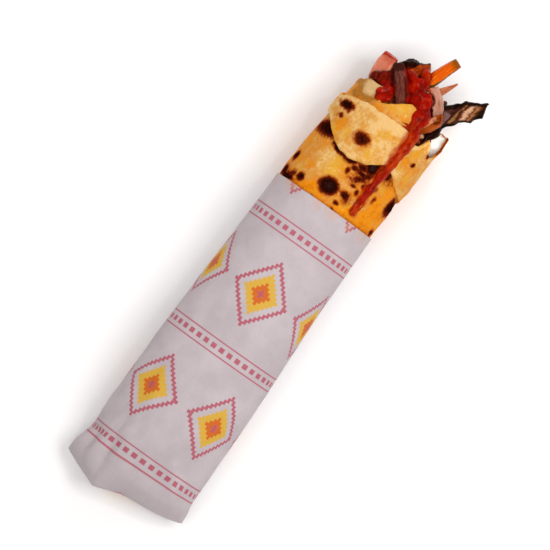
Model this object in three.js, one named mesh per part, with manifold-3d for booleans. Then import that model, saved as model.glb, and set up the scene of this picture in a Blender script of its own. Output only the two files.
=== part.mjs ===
// Durum wrap: a flatbread rolled round grilled meat and vegetables, in a paper sleeve that is
// folded shut at one end. It lies with its sauced side up.
// x runs along the roll from the folded end to the open mouth, y across it and z up from the
// surface it lies on. A turn angle is measured round the roll from its top, towards -y.

import * as THREE from "three";
import { mergeVertices } from "three/addons/utils/BufferGeometryUtils.js";
import Module from "manifold-3d";

const wasm = await Module();
wasm.setup();

// Driving dimensions, in millimetres and degrees.
const gap = 0.35; // clearance between neighbouring pieces
const restHeight = 0.965; // height of the roll's centre as a share of its half height

const sleeve = {
  rimX: 172.5, // open rim
  foldX: 14, // where the tube starts to flatten towards its fold
  wall: 0.6,
  sides: 36,
  flapReach: 22, // how far the end is folded back underneath
  flapLift: 0.7, // how far that flap lifts the tube
  levelAgainX: 70, // where the lifted tube touches down again
  seamTurn: -128, // lengthwise overlap of the paper
  seamStep: 0.5,
};

const bread = {
  startX: 16,
  thickness: 1.6,
  pitch: 2.0, // from the outer face of one turn to that of the next
  firstWind: -512, // winding angle of the inner edge; winding angles run against turn angles
  flapWind: -144, // where the outermost turn leaves the full-length sheet
  lastWind: 136,
  windStep: 8,
  climb: 60, // winding angle over which the sheet climbs onto the turn below it
  flapX: 190,
  mouthRows: 7,
};

// The roll's outline: [x, half width, half height, sideways shift].
const profile = [
  [0, 34.4, 8.6, 0.3],
  [3.5, 34.3, 11.8, 0.6],
  [7, 34.0, 13.9, 0.6],
  [10.5, 33.4, 15.2, 0.5],
  [14, 32.9, 16.0, 0.2],
  [32, 32.3, 18.8, 0.0],
  [60, 31.6, 21.4, 0.0],
  [100, 30.6, 23.2, 0.6],
  [140, 29.4, 24.0, 1.0],
  [166, 28.7, 24.0, 0.8],
  [176, 28.6, 24.0, 0.5],
  [184, 29.0, 24.2, 0.1],
  [200, 28.3, 24.0, -0.4],
  [220, 28.1, 23.9, -1.9],
  [237, 27.0, 23.2, -3.0],
];

// The folded end's edge across the roll: [y, x].
const foldEdge = [[-34, 0], [-20, -3], [0, -5], [14, -10.5], [34, -2.5]];

// The mouth's edge round the sheet, and the edge of the outermost turn: [winding angle, x].
const mouthEdge = [
  [-512, 219], [-400, 219], [-388, 230], [-378, 237.5], [-365, 237.5], [-345, 229.5],
  [-337, 229], [-328, 237], [-300, 237.5], [-285, 235.5], [-230, 237], [-180, 236.5],
  [-98, 236.5], [-91, 224], [-70, 223.5], [-53, 228], [-40, 223], [-32, 222],
  [-22, 226], [0, 226.5], [25, 226.5], [50, 225], [80, 223], [136, 227],
];
const outerEdge = [
  [-144, 190], [-72, 196], [-48, 200], [-36, 203.5], [-23, 205.5], [-8, 200],
  [10, 198], [23, 199], [34, 201], [47, 205], [61, 209], [95, 215], [136, 222],
];

const finishes = {
  paper: { color: 0xc8c0c8, roughness: 0.8 },
  bread: { color: 0xe9bd72, roughness: 0.85 },
  sauce: { color: 0x960505, roughness: 0.3 },
  mince: { color: 0x6e2f1c, roughness: 0.6 },
  meat: { color: 0x5a2a22, roughness: 0.55 },
  crust: { color: 0x3a1710, roughness: 0.6 },
  glazed: { color: 0x6a0f0c, roughness: 0.4 },
  tomato: { color: 0xd76450, roughness: 0.4 },
  carrot: { color: 0xeb5f0a, roughness: 0.45 },
  onion: { color: 0xebb496, roughness: 0.4 },
  pepper: { color: 0xb4561e, roughness: 0.5 },
  charred: { color: 0x2b130d, roughness: 0.7 },
};

const radians = THREE.MathUtils.degToRad;
const clamp = THREE.MathUtils.clamp;
const vec = (x, y, z) => new THREE.Vector3(x, y, z);

// The value in column `column` of a table whose first column rises, at `key`.
function lookUp(table, key, column = 1) {
  let row = 1;
  while (row < table.length - 1 && table[row][0] < key) row += 1;
  const [before, after] = [table[row - 1], table[row]];
  const share = clamp((key - before[0]) / (after[0] - before[0]), 0, 1);
  return before[column] + share * (after[column] - before[column]);
}

const lowerTable = [[sleeve.flapReach + 2, sleeve.flapLift], [sleeve.levelAgainX, 0]];
const tubeFloor = (x) => lookUp(lowerTable, x);

// How far one turn angle is from another, between -180 and 180.
const between = (turn, from) => THREE.MathUtils.euclideanModulo(turn - from + 180, 360) - 180;

// Soft unevenness of the rolled body, fading out on the underside.
function swell(x, turn) {
  const upper = clamp(0.75 + Math.cos(radians(turn)), 0, 1);
  const waves = Math.sin(x / 16 + radians(2 * turn)) + Math.sin(x / 29 - radians(3 * turn) + 1);
  const earFold = Math.exp(-(((x - 12) / 10) ** 2) - (between(turn, -58) / 17) ** 2);
  const cheek = Math.exp(-(((x - 34) / 16) ** 2) - (between(turn, -78) / 20) ** 2);
  return upper * (0.28 * waves - 1.7 * earFold - 0.8 * cheek);
}

// The mouth's lower right edge is bent up into a lip that looks up.
function lip(x, turn) {
  const reach = clamp((x - 220) / 17, 0, 1);
  return 5 * reach * Math.exp(-((between(turn, 128) / 26) ** 2));
}

// A point at turn angle `turn`, `depth` inside the body's outer face.
function bodyPoint(x, turn, depth, floor = tubeFloor(x) + Math.max(depth, 0)) {
  const angle = radians(turn);
  const reach = swell(x, turn) - depth;
  const halfHeight = lookUp(profile, x, 2);
  const y = lookUp(profile, x, 3) - (lookUp(profile, x, 1) + reach) * Math.sin(angle);
  const z = restHeight * halfHeight + (halfHeight + reach) * Math.cos(angle);
  const towardsFold = Math.max(0, 1 - x / sleeve.foldX);
  const along = x + towardsFold * lookUp(foldEdge, y);
  return vec(along, y, Math.max(z, floor) + lip(x, turn));
}

// ---- Closed surfaces ----

// A closed skin whose faces point outwards, whichever way round they were listed.
function meshGeometry(points, faces) {
  const volume = faces.reduce((sum, [a, b, c]) =>
    sum + points[a].dot(vec().crossVectors(points[b], points[c])), 0);
  const facing = volume < 0 ? faces.map((face) => face.toReversed()) : faces;
  return new THREE.BufferGeometry().setFromPoints(points).setIndex(facing.flat());
}

// Rings of points joined into one closed skin. Each end is closed by a strip between the
// ring's first half and its second half, which runs back beside the first.
function ringSolid(rings) {
  const count = rings[0].length;
  const faces = [];
  const at = (ring, i) => ring * count + (i % count);
  for (let ring = 0; ring < rings.length - 1; ring += 1) {
    for (let i = 0; i < count; i += 1) {
      faces.push([at(ring, i), at(ring + 1, i), at(ring + 1, i + 1)]);
      faces.push([at(ring, i), at(ring + 1, i + 1), at(ring, i + 1)]);
    }
  }
  const last = rings.length - 1;
  for (let i = 0; i < count / 2 - 1; i += 1) {
    const back = count - 1 - i;
    faces.push([at(0, i), at(0, i + 1), at(0, back - 1)]);
    faces.push([at(0, i), at(0, back - 1), at(0, back)]);
    faces.push([at(last, i + 1), at(last, i), at(last, back - 1)]);
    faces.push([at(last, back - 1), at(last, i), at(last, back)]);
  }
  return meshGeometry(rings.flat(), faces);
}

// A sheet with an outer and an inner face over a grid of cells, of which some may be absent.
function sheetSolid(columns, rows, pointAt, present) {
  const points = [];
  const faces = [];
  const known = new Map();
  function corner(side, column, row) {
    const key = `${side} ${column} ${row}`;
    if (!known.has(key)) known.set(key, points.push(pointAt(side, column, row)) - 1);
    return known.get(key);
  }
  const filled = (c, r) => c >= 0 && r >= 0 && c < columns && r < rows && present(c, r);
  function quad(a, b, c, d) {
    faces.push([a, b, c], [a, c, d]);
  }
  for (let c = 0; c < columns; c += 1) {
    for (let r = 0; r < rows; r += 1) {
      if (!filled(c, r)) continue;
      const outer = [[c, r], [c + 1, r], [c + 1, r + 1], [c, r + 1]].map((p) => corner(0, ...p));
      const inner = [[c, r], [c + 1, r], [c + 1, r + 1], [c, r + 1]].map((p) => corner(1, ...p));
      quad(...outer);
      quad(...inner.toReversed());
      const beside = [filled(c, r - 1), filled(c + 1, r), filled(c, r + 1), filled(c - 1, r)];
      beside.forEach((taken, i) => {
        const next = (i + 1) % 4;
        if (!taken) quad(outer[next], outer[i], inner[i], inner[next]);
      });
    }
  }
  return meshGeometry(points, faces);
}

// ---- Cutting ----

function closedSolid(geometry) {
  const bare = new THREE.BufferGeometry();
  bare.setAttribute("position", geometry.getAttribute("position"));
  bare.setIndex(geometry.index);
  const merged = mergeVertices(bare, 1e-4);
  return new wasm.Manifold(new wasm.Mesh({
    numProp: 3,
    vertProperties: merged.attributes.position.array,
    triVerts: new Uint32Array(merged.index.array),
  }));
}

function geometryOf(solid) {
  const { vertProperties, triVerts } = solid.getMesh();
  const geometry = new THREE.BufferGeometry();
  geometry.setAttribute("position", new THREE.BufferAttribute(vertProperties, 3));
  return geometry.setIndex(new THREE.BufferAttribute(triVerts, 1));
}

// The same surface moved outwards along its normals.
function grown(geometry, distance) {
  const merged = mergeVertices(geometry.clone().deleteAttribute("normal"), 1e-4);
  merged.computeVertexNormals();
  const { position, normal } = merged.attributes;
  for (let i = 0; i < position.count; i += 1) {
    const point = vec().fromBufferAttribute(position, i);
    point.addScaledVector(vec().fromBufferAttribute(normal, i), distance);
    position.setXYZ(i, ...point);
  }
  return merged;
}

function largestBody(solid) {
  return solid.decompose().reduce((a, b) => (a.volume() > b.volume() ? a : b));
}

// ---- The sleeve and the bread ----

function paperSleeve() {
  const { sides, wall, seamTurn, seamStep } = sleeve;
  const outerX = [0, 3.5, 7, 10.5, 14, 18, 22, 24, 32, 46, 60, 80, 100, 120, 140, 154, 166];
  const innerX = [172.5, 166, 154, 140, 120, 100, 80, 60, 46, 32, 24, 16, 10.5, 7, 4.2];
  const turnOf = (i) => -90 + (180 / sides) + (360 / sides) * i;
  function ring(x, depth, floor) {
    return Array.from({ length: sides }, (_, i) => {
      const turn = turnOf(i);
      const pastSeam = -between(turn, seamTurn);
      const overlap = depth === 0 && pastSeam >= 0 ? seamStep * clamp(1 - pastSeam / 60, 0, 1) : 0;
      return bodyPoint(x, turn, depth - overlap, floor);
    });
  }
  const outer = [...outerX, sleeve.rimX].map((x) =>
    ring(x, 0, x <= sleeve.flapReach ? 0 : tubeFloor(x)));
  const inner = innerX.map((x) => ring(x, wall, tubeFloor(x) + wall));
  return ringSolid([...outer, ...inner]);
}

// How deep the sheet's outer face lies at a winding angle: each full turn is a pitch further out.
function sheetDepth(wind) {
  const base = sleeve.wall + gap;
  const { pitch, flapWind, climb } = bread;
  const climbs = [flapWind - 360, flapWind].map((from) => clamp((wind - from) / climb, 0, 1));
  return base + pitch * (1 - climbs[0] - climbs[1]);
}

// Blisters stand a little proud of the baked face: [turn, x, radius, height].
const blisters = [
  [-9, 181, 6, 0.5], [9, 182, 4, 0.4], [-39, 177, 5, 0.4], [55, 190, 6, 0.5],
  [-10, 209, 7, 0.6], [-46, 218, 6, 0.5], [52, 213, 5, 0.4], [20, 196, 6, 0.4],
  [100, 200, 7, 0.5], [-110, 190, 7, 0.5], [170, 205, 8, 0.3], [-75, 200, 6, 0.4],
];

function blister(turn, x) {
  return blisters.reduce((sum, [atTurn, atX, radius, height]) => {
    const across = radians(between(turn, atTurn)) * 27;
    return sum + height * Math.exp(-((across / radius) ** 2) - ((x - atX) / radius) ** 2);
  }, 0);
}

function breadSheet(fromWind, toWind, clearance = 0) {
  const { windStep, mouthRows, thickness, flapWind, flapX } = bread;
  const fullRows = [bread.startX, 24, 32, 46, 60, 80, 100, 120, 140, 154, 166, 177, 183.5, flapX];
  const columns = Math.round((toWind - fromWind) / windStep);
  const rows = fullRows.length - 1 + mouthRows;
  function pointAt(side, column, row) {
    const wind = fromWind + (column / columns) * (toWind - fromWind);
    const onFlap = wind > flapWind;
    const mouthRow = (row - fullRows.length + 1) / mouthRows;
    const lowX = onFlap ? lookUp(outerEdge, wind) : flapX;
    let x = mouthRow <= 0 ? fullRows[row] : lowX + mouthRow * (lookUp(mouthEdge, wind) - lowX);
    if (mouthRow <= 0 && onFlap) x = lowX;
    if (row === rows) x += clearance;
    if (onFlap && mouthRow <= 0) x -= clearance;
    const baked = x > sleeve.rimX + 3 ? blister(-wind, x) : 0;
    const outerDepth = sheetDepth(wind) - (wind > flapWind - 220 || x < 190 ? baked : 0);
    const depth = side === 0 ? outerDepth - clearance : sheetDepth(wind) + thickness + clearance;
    return bodyPoint(x, -wind, depth);
  }
  const present = (column, row) =>
    row >= fullRows.length - 1 || fromWind + ((column + 0.5) / columns) * (toWind - fromWind) < flapWind;
  return sheetSolid(columns, rows, pointAt, present);
}

// ---- The filling ----

// Repeatable unevenness over a point, between -1 and 1.
function ripple(point, seed, size) {
  const [a, b, c] = [1.7, 2.9, 4.1].map((k) => k * seed);
  const { x, y, z } = point.clone().divideScalar(size);
  return (Math.sin(x + 2.1 * y + a) + Math.sin(1.9 * y - 1.3 * z + b) + Math.sin(2.3 * z + 1.1 * x + c)) / 3;
}

// A chopped chunk: a ball flattened by a few cuts, stretched, turned and roughened.
function chunk({ at, size, turn = [0, 0, 0], seed, rough = 0.8, detail = 2 }) {
  const geometry = mergeVertices(
    new THREE.IcosahedronGeometry(1, detail).deleteAttribute("normal").deleteAttribute("uv"), 1e-4);
  const { position } = geometry.attributes;
  const turned = new THREE.Euler(...turn.map(radians));
  for (let i = 0; i < position.count; i += 1) {
    const point = vec().fromBufferAttribute(position, i);
    const bulk = 1 / Math.max(...point.toArray().map(Math.abs));
    point.multiplyScalar(1 + 0.32 * (bulk - 1)); // squarer than a ball
    const cut = vec(Math.sin(seed), Math.cos(seed * 2.3), Math.sin(seed * 1.7 + 1)).normalize();
    point.addScaledVector(cut, -Math.max(0, point.dot(cut) - 0.62));
    point.multiply(vec(...size).multiplyScalar(0.5));
    const lift = rough * ripple(point, seed, 2.4);
    point.addScaledVector(point.clone().normalize(), lift);
    position.setXYZ(i, ...point.applyEuler(turned).add(vec(...at)));
  }
  return geometry;
}

// A strip swept through stations [x, y, z, width, thickness]; `up` is the way its face looks,
// `flat` how full its underside is.
function strip({ stations, up = [0, 0, 1], flat = 1, sides = 10, steps = 3, seed = 1, rough = 0 }) {
  const curve = new THREE.CatmullRomCurve3(stations.map((s) => vec(...s)), false, "centripetal");
  const last = stations.length - 1;
  const rings = [];
  for (let step = 0; step <= last * steps; step += 1) {
    const share = step / (last * steps);
    const from = Math.min(last - 1, Math.floor(share * last));
    const blend = share * last - from;
    const value = (column) =>
      THREE.MathUtils.lerp(stations[from][column], stations[from + 1][column], blend);
    const centre = curve.getPoint(share);
    const ahead = curve.getTangent(share);
    const across = vec().crossVectors(ahead, vec(...up)).normalize();
    const outward = vec().crossVectors(across, ahead);
    rings.push(Array.from({ length: sides }, (_, i) => {
      const angle = Math.PI * 2 * ((i + 0.5) / sides);
      const [c, s] = [Math.cos(angle), Math.sin(angle)].map((v) => Math.sign(v) * Math.abs(v) ** 0.75);
      const point = centre.clone().addScaledVector(across, 0.5 * value(3) * c);
      point.addScaledVector(outward, 0.5 * value(4) * s * (s < 0 ? flat : 1));
      return point.addScaledVector(outward, rough * ripple(point, seed, 2.2));
    }));
  }
  return ringSolid(rings);
}

// The drip lies on the bread, and climbs the edge of its outermost turn: [x, depth, width, thickness].
const drip = [
  [175.6, 0.35, 2.4, 1.6], [177.5, 0.25, 4.6, 3.0], [180.5, 0.35, 3.6, 2.4], [186, 0.45, 2.8, 2.0],
  [194, 0.45, 3.0, 2.0], [200, 0.35, 3.4, 2.2], [203.2, -1.7, 3.6, 2.2], [210, -1.6, 4.0, 2.2],
  [218, -1.6, 4.2, 2.4], [225, -1.75, 4.6, 2.6],
];
const dripTurn = 28;

function sauce() {
  const onBread = drip.map(([x, depth, width, thickness]) =>
    [...bodyPoint(x, dripTurn, depth), width, thickness]);
  const overFilling = [
    [231, -12.6, 45.0, 9.0, 2.8], [237, -12.6, 44.0, 9.5, 3.8], [242, -9.5, 42.4, 14.0, 4.6],
    [246.5, -4.5, 40.4, 13.0, 4.8], [250, 1.5, 38.6, 8.0, 4.0], [252, 5.0, 37.4, 3.0, 2.4],
  ];
  const up = vec(0, -Math.sin(radians(dripTurn)), Math.cos(radians(dripTurn)));
  return strip({ stations: [...onBread, ...overFilling], up, flat: 0.25, steps: 2, sides: 8 });
}

function sauceDab() {
  const stations = [
    [230.6, 9.4, 42.4, 3, 1.8], [232.4, 9.6, 42.2, 7, 2.8], [235.4, 9.8, 41.4, 8, 3.2],
    [238.6, 10.4, 40.0, 6, 2.4],
  ];
  return strip({ stations, up: [0, 0.2, 1], flat: 0.6, sides: 8, steps: 2 });
}

// From the top of the heap down: each piece gives way to those before it.
const pieces = [
  ["sauce", "sauce", sauce()],
  ["sauce_dab", "sauce", sauceDab()],
  ["meat_slice", "meat", strip({
    stations: [[226, -5, 39.6, 6, 4], [237, -0.5, 40.4, 8, 4.6], [244, 5, 39.8, 8.6, 4.8], [251, 11.2, 36.6, 5.4, 3.4]],
    up: [0.1, -0.2, 1], seed: 3, rough: 0.45, steps: 2,
  })],
  ["onion_petal", "onion", strip({
    stations: [[236, -21, 36, 3, 1.6], [241, -19.5, 38.4, 5.4, 2.2], [247, -15.4, 38.8, 6.4, 2.2],
      [252.4, -9.8, 36.5, 4.4, 1.6]],
    up: [0.2, -0.5, 1], seed: 5, rough: 0.2, sides: 8, steps: 2,
  })],
  ["tomato_wedge", "tomato", strip({
    stations: [[231, 15.4, 26.5, 3, 4], [239, 18.0, 30.4, 5, 6.4], [247, 16.8, 33.6, 9.6, 8.6],
      [252.6, 16.6, 34.6, 8.2, 6]],
    up: [0.15, 0.3, 1], seed: 7, rough: 0.15, steps: 2,
  })],
  ["pepper_piece", "pepper", strip({
    stations: [[228, -14, 36.5, 5, 3.4], [234, -18.5, 37.2, 7.4, 3.8], [240, -21.5, 36.4, 6.4, 3.6],
      [244.5, -24.5, 34.6, 3, 2.2]],
    up: [0.1, -0.6, 1], seed: 11, rough: 0.3, sides: 8, steps: 2,
  })],
  ["meat_glazed", "glazed", chunk({
    at: [241.5, 13.4, 31.6], size: [17, 14, 12.5], turn: [-15, 0, 28], seed: 6, rough: 0.7,
  })],
  ["meat_crusted", "crust", chunk({
    at: [249, 3.2, 31.0], size: [20, 17, 14], turn: [10, 12, -22], seed: 4, rough: 1.1, detail: 3,
  })],
  ["carrot_stick", "carrot", strip({
    stations: [[242, -2.2, 29.5, 7.4, 6.4], [252, -6.2, 32, 7.2, 6.4], [262, -9.8, 34, 6.2, 5.6],
      [268.6, -12.6, 35, 5.2, 4.6]],
    up: [-0.1, -0.3, 1], seed: 13, rough: 0.15, sides: 8, steps: 2,
  })],
  ["onion_sliver", "onion", strip({
    stations: [[240, -8.5, 31.5, 4.5, 2.2], [248, -12, 33.5, 5.4, 2.2], [254, -15, 34.0, 3.8, 1.8],
      [260, -18.4, 33.6, 1.0, 0.8]],
    up: [0, -0.4, 1], seed: 17, rough: 0.15, sides: 8, steps: 2,
  })],
  ["meat_bit", "crust", chunk({
    at: [232.5, -21.2, 32.4], size: [12, 8, 8], turn: [30, 0, -15], seed: 9, rough: 0.5, detail: 1,
  })],
  ["charred_strip", "charred", strip({
    stations: [[230, -14, 27, 8, 3], [240, -21.4, 29.5, 10.5, 3.2], [247, -25.6, 31.2, 12.4, 3.2],
      [252, -31, 32.4, 12, 3], [256.4, -36, 33.4, 8.4, 2.6], [260.4, -37.2, 34, 2.2, 1.6]],
    up: [-0.25, -0.35, 1], seed: 19, rough: 0.7, steps: 2,
  })],
  ["meat_cube", "meat", chunk({
    at: [243, 13.5, 21.5], size: [19, 14, 13], turn: [15, -10, 20], seed: 2, rough: 0.8,
  })],
  ["meat_corner", "crust", chunk({
    at: [242, -13.5, 20.5], size: [19, 15, 13], turn: [0, 15, -20], seed: 8, rough: 0.8,
  })],
  ["tomato_low", "tomato", strip({
    stations: [[230, -2, 14, 6, 6], [240, -2.5, 14, 9, 8], [248, -3, 13, 9.5, 8], [252, -3.4, 12, 6, 5]],
    up: [0.1, 0.2, 1], seed: 21, rough: 0.25, steps: 2,
  })],
  ["onion_low", "onion", strip({
    stations: [[232, 8, 11, 5, 2.2], [240, 11.5, 10, 6, 2.2], [247, 16, 11.5, 5, 2], [251, 20.5, 15, 2, 1.2]],
    up: [0, -0.8, 1], seed: 23, rough: 0.2, sides: 8, steps: 2,
  })],
  ["pepper_low", "pepper", strip({
    stations: [[230, -10, 9.4, 6, 3.4], [239, -14, 9.6, 7, 3.6], [247, -18.5, 10.4, 6.4, 3.4], [253, -23, 12, 3, 2]],
    up: [0, 0.5, 1], seed: 25, rough: 0.3, sides: 8, steps: 2,
  })],
  ["meat_low", "meat", chunk({
    at: [241, 3.5, 22], size: [19, 13, 12], turn: [0, 0, 10], seed: 12, rough: 0.8, detail: 1,
  })],
];

// Chopped filling that runs down the roll, domed and craggy at the mouth.
function fillingCore() {
  const straight = [18, 60, 110, 176, 205, 222].map((x) => [x, 1]);
  const dome = [[230, 0.97], [236, 0.88], [240, 0.62], [242, 0.28]];
  const sides = 20;
  const sideDepth = [[-180, 3.4], [66, 3.4], [84, 5.5], [150, 5.5], [166, 3.4], [270, 3.4]];
  const rings = [...straight, ...dome].map(([x, share]) =>
    Array.from({ length: sides }, (_, i) => {
      const turn = -90 + 180 / sides + (360 / sides) * i;
      const point = bodyPoint(Math.min(x, 236), turn, lookUp(sideDepth, turn));
      point.x = x;
      const axis = vec(x, lookUp(profile, x, 3), restHeight * lookUp(profile, x, 2));
      const rough = x > 226 ? ripple(point, 5, 2.2) : 0;
      return point.sub(axis).multiplyScalar(share).addScalar(rough * 0.8).add(axis);
    }));
  return ringSolid(rings);
}

// ---- The whole wrap ----

const wrap = new THREE.Group();

function addMesh(name, finish, geometry) {
  const material = new THREE.MeshStandardMaterial({ ...finishes[finish], metalness: 0 });
  const mesh = new THREE.Mesh(geometry, material);
  mesh.name = name;
  wrap.add(mesh);
}

addMesh("paper_sleeve", "paper", paperSleeve());
addMesh("flatbread", "bread", breadSheet(bread.firstWind, bread.lastWind));

const breadRoom = [[bread.firstWind, -184], [-200, bread.lastWind]]
  .map(([from, to]) => closedSolid(breadSheet(from, to, gap)));
const taken = [];
for (const [name, finish, geometry] of pieces) {
  let solid = closedSolid(geometry);
  const clearOfBread = name === "sauce" ? [] : breadRoom;
  for (const other of [...clearOfBread, ...taken]) solid = solid.subtract(other);
  addMesh(name, finish, geometryOf(largestBody(solid)));
  taken.push(closedSolid(grown(geometry, 1.35 * gap)));
}
const core = taken.reduce((solid, other) => solid.subtract(other), closedSolid(fillingCore()));
addMesh("filling_core", "mince", geometryOf(largestBody(core)));

// The origin is on the surface below the middle of the wrap.
const box = new THREE.Box3().setFromObject(wrap);
const middle = box.getCenter(vec());
wrap.position.set(-middle.x, -middle.y, -box.min.z);

export default wrap;
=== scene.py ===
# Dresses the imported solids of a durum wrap: a rolled flatbread full of grilled meat and
# vegetables, with red sauce, in a paper sleeve that is folded shut at one end.
# Tables and dictionaries hold millimetres, degrees and sRGB colours. The roll's own axes are x
# from the folded end to the mouth, y across and z up. A turn angle runs round the roll from its
# top towards -y. Meshes are made in metres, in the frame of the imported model.
import math

import bmesh
import bpy
import numpy as np
from mathutils import Matrix, Vector
from mathutils.bvhtree import BVHTree


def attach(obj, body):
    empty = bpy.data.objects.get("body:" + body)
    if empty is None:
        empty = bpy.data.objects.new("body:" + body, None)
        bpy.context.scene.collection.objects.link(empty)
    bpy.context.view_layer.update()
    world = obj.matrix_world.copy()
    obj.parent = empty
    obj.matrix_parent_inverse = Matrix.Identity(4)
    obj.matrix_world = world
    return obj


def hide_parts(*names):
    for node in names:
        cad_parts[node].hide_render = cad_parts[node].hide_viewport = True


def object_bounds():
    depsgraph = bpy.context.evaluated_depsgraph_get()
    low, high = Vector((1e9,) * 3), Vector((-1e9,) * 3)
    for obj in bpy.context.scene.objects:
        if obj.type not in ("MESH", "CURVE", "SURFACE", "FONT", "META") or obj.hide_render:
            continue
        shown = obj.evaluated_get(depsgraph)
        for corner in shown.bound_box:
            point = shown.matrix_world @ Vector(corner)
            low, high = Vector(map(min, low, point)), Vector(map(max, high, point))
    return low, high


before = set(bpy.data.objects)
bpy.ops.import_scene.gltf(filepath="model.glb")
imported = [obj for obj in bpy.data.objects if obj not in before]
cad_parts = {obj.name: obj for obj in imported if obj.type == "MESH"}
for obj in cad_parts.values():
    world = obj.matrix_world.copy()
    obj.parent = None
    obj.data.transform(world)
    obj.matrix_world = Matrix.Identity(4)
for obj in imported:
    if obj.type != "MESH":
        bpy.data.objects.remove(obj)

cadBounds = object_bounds()
mm = 0.001

roll = {
    "origin": (-129.759, 2.360, 0.0),  # where the roll's own origin lies in the frame
    "restHeight": 0.965,  # height of its centre as a share of its half height
    "rimX": 172.5,  # the sleeve's open rim
    "foldX": 14,  # where the tube starts to flatten towards its fold
    "profile": [  # x, half width, half height, sideways shift
        [0, 34.4, 8.6, 0.3], [3.5, 34.3, 11.8, 0.6], [7, 34.0, 13.9, 0.6], [10.5, 33.4, 15.2, 0.5],
        [14, 32.9, 16.0, 0.2], [32, 32.3, 18.8, 0.0], [60, 31.6, 21.4, 0.0], [100, 30.6, 23.2, 0.6],
        [140, 29.4, 24.0, 1.0], [166, 28.7, 24.0, 0.8], [176, 28.6, 24.0, 0.5], [184, 29.0, 24.2, 0.1],
        [200, 28.3, 24.0, -0.4], [220, 28.1, 23.9, -1.9], [237, 27.0, 23.2, -3.0],
    ],
    "foldEdge": [[-34, 0], [-20, -3], [0, -5], [14, -10.5], [34, -2.5]],  # y, x
    "lift": [[24, 0.7], [70, 0.0]],  # how far the folded flap lifts the tube at x
}


def lookUp(table, key, column=1):
    rows = np.array(table, float)
    return np.interp(key, rows[:, 0], rows[:, column])


def between(turn, start):  # how far one turn angle is from another, between -180 and 180
    return (turn - start + 180) % 360 - 180


def ease(value, low, high):  # 0 below low, 1 above high, and smooth in between
    share = np.clip((value - low) / (high - low), 0, 1)
    return share * share * (3 - 2 * share)


def together(*parts):  # points from their coordinates, each an array or a number
    return np.stack(np.broadcast_arrays(*parts), axis=-1).astype(float)


slant = np.array(Matrix.Rotation(0.7, 3, Vector((0.3, 0.5, 0.8)).normalized()))


def cloud(points, size, seed=0):  # smooth noise between -1 and 1, with lumps of that size
    scaled = np.asarray(points, float) @ slant / size + 31.7 * seed
    cell = np.floor(scaled).astype(np.int64)
    share = scaled - cell
    share = share * share * (3 - 2 * share)
    total = np.zeros(scaled.shape[:-1])
    for corner in np.ndindex(2, 2, 2):
        a, b, c = np.moveaxis(cell + np.array(corner), -1, 0)
        mixed = (a * 73856093) ^ (b * 19349663) ^ (c * 83492791)
        mixed = (mixed ^ (mixed >> 13)) * 1274126177
        value = ((mixed ^ (mixed >> 16)) & 0xFFFF) / 32767.5 - 1
        total += value * np.prod(np.where(corner, share, 1 - share), axis=-1)
    return total


def clouds(points, size, seed=0):
    return sum(cloud(points, size / 2**i, seed + i) / 2**i for i in range(3))


def crags(points, size, seed=0):  # sharp crests and rounded hollows, from -1 to 1
    return sum((1 - 3 * abs(cloud(points, size / 2**i, seed + i))) / 2**i for i in range(3)) / 2


def spot(x, y, radius):
    return np.exp(-(x**2 + y**2) / radius**2)


def onTop(turn):  # where the roll faces up
    return np.cos(np.radians(turn)) > 0


def swell(x, turn):  # soft unevenness, the same as the solids'
    upper = np.clip(0.75 + np.cos(np.radians(turn)), 0, 1)
    waves = np.sin(x / 16 + np.radians(2 * turn)) + np.sin(x / 29 - np.radians(3 * turn) + 1)
    earFold = np.exp(-(((x - 12) / 10) ** 2) - (between(turn, -58) / 17) ** 2)
    cheek = np.exp(-(((x - 34) / 16) ** 2) - (between(turn, -78) / 20) ** 2)
    return upper * (0.28 * waves - 1.7 * earFold - 0.8 * cheek)


def lip(x, turn):  # the mouth's lower right edge is bent up
    return 5 * np.clip((x - 220) / 17, 0, 1) * np.exp(-((between(turn, 128) / 26) ** 2))


def outline(x, column):  # the profile with its corners eased
    reach = np.clip((x - 6) / 4, 0, 4)
    shares = (-1, -0.5, 0, 0.5, 1)
    return np.mean([lookUp(roll["profile"], x + share * reach, column) for share in shares], axis=0)


def bodyPoint(x, turn, depth, floor=None):  # a point that deep inside the body's outer face
    angle = np.radians(turn)
    reach = swell(x, turn) - depth
    halfHeight = outline(x, 2)
    y = outline(x, 3) - (outline(x, 1) + reach) * np.sin(angle)
    z = roll["restHeight"] * halfHeight + (halfHeight + reach) * np.cos(angle)
    along = x + np.maximum(0, 1 - x / roll["foldX"]) * lookUp(roll["foldEdge"], y)
    if floor is None:
        floor = lookUp(roll["lift"], x) + np.maximum(depth, 0)
    return together(along, y, np.maximum(z, floor) + lip(x, turn))


def toFrame(points):
    return (np.asarray(points, float) + roll["origin"]) * mm


def toRoll(points):
    return np.asarray(points, float) / mm - roll["origin"]


def insideCad(points):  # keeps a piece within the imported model's box
    low, high = (np.array(corner) for corner in cadBounds)
    return np.clip(points, low, high)


def setField(mesh, name, values):  # a number, or a vector, for each vertex
    values = np.asarray(values, np.float32)
    kind, key = ("FLOAT", "value") if values.ndim == 1 else ("FLOAT_VECTOR", "vector")
    mesh.attributes.new(name, kind, "POINT").data.foreach_set(key, values.ravel())


def pointsOf(mesh):
    flat = np.zeros(len(mesh.vertices) * 3)
    mesh.vertices.foreach_get("co", flat)
    return flat.reshape(-1, 3)


def normalsOf(mesh):
    flat = np.zeros(len(mesh.vertices) * 3)
    mesh.vertex_normals.foreach_get("vector", flat)
    return flat.reshape(-1, 3)


def newPiece(name, mesh):
    piece = bpy.data.objects.new(name, mesh)
    bpy.context.scene.collection.objects.link(piece)
    return piece


def dress(piece, finish, slot, *nodes):  # gives a finished piece its material and its place in the frame
    piece.data.materials.clear()
    piece.data.materials.append(finish)
    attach(piece, "root")
    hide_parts(*nodes)
    return piece


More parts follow.
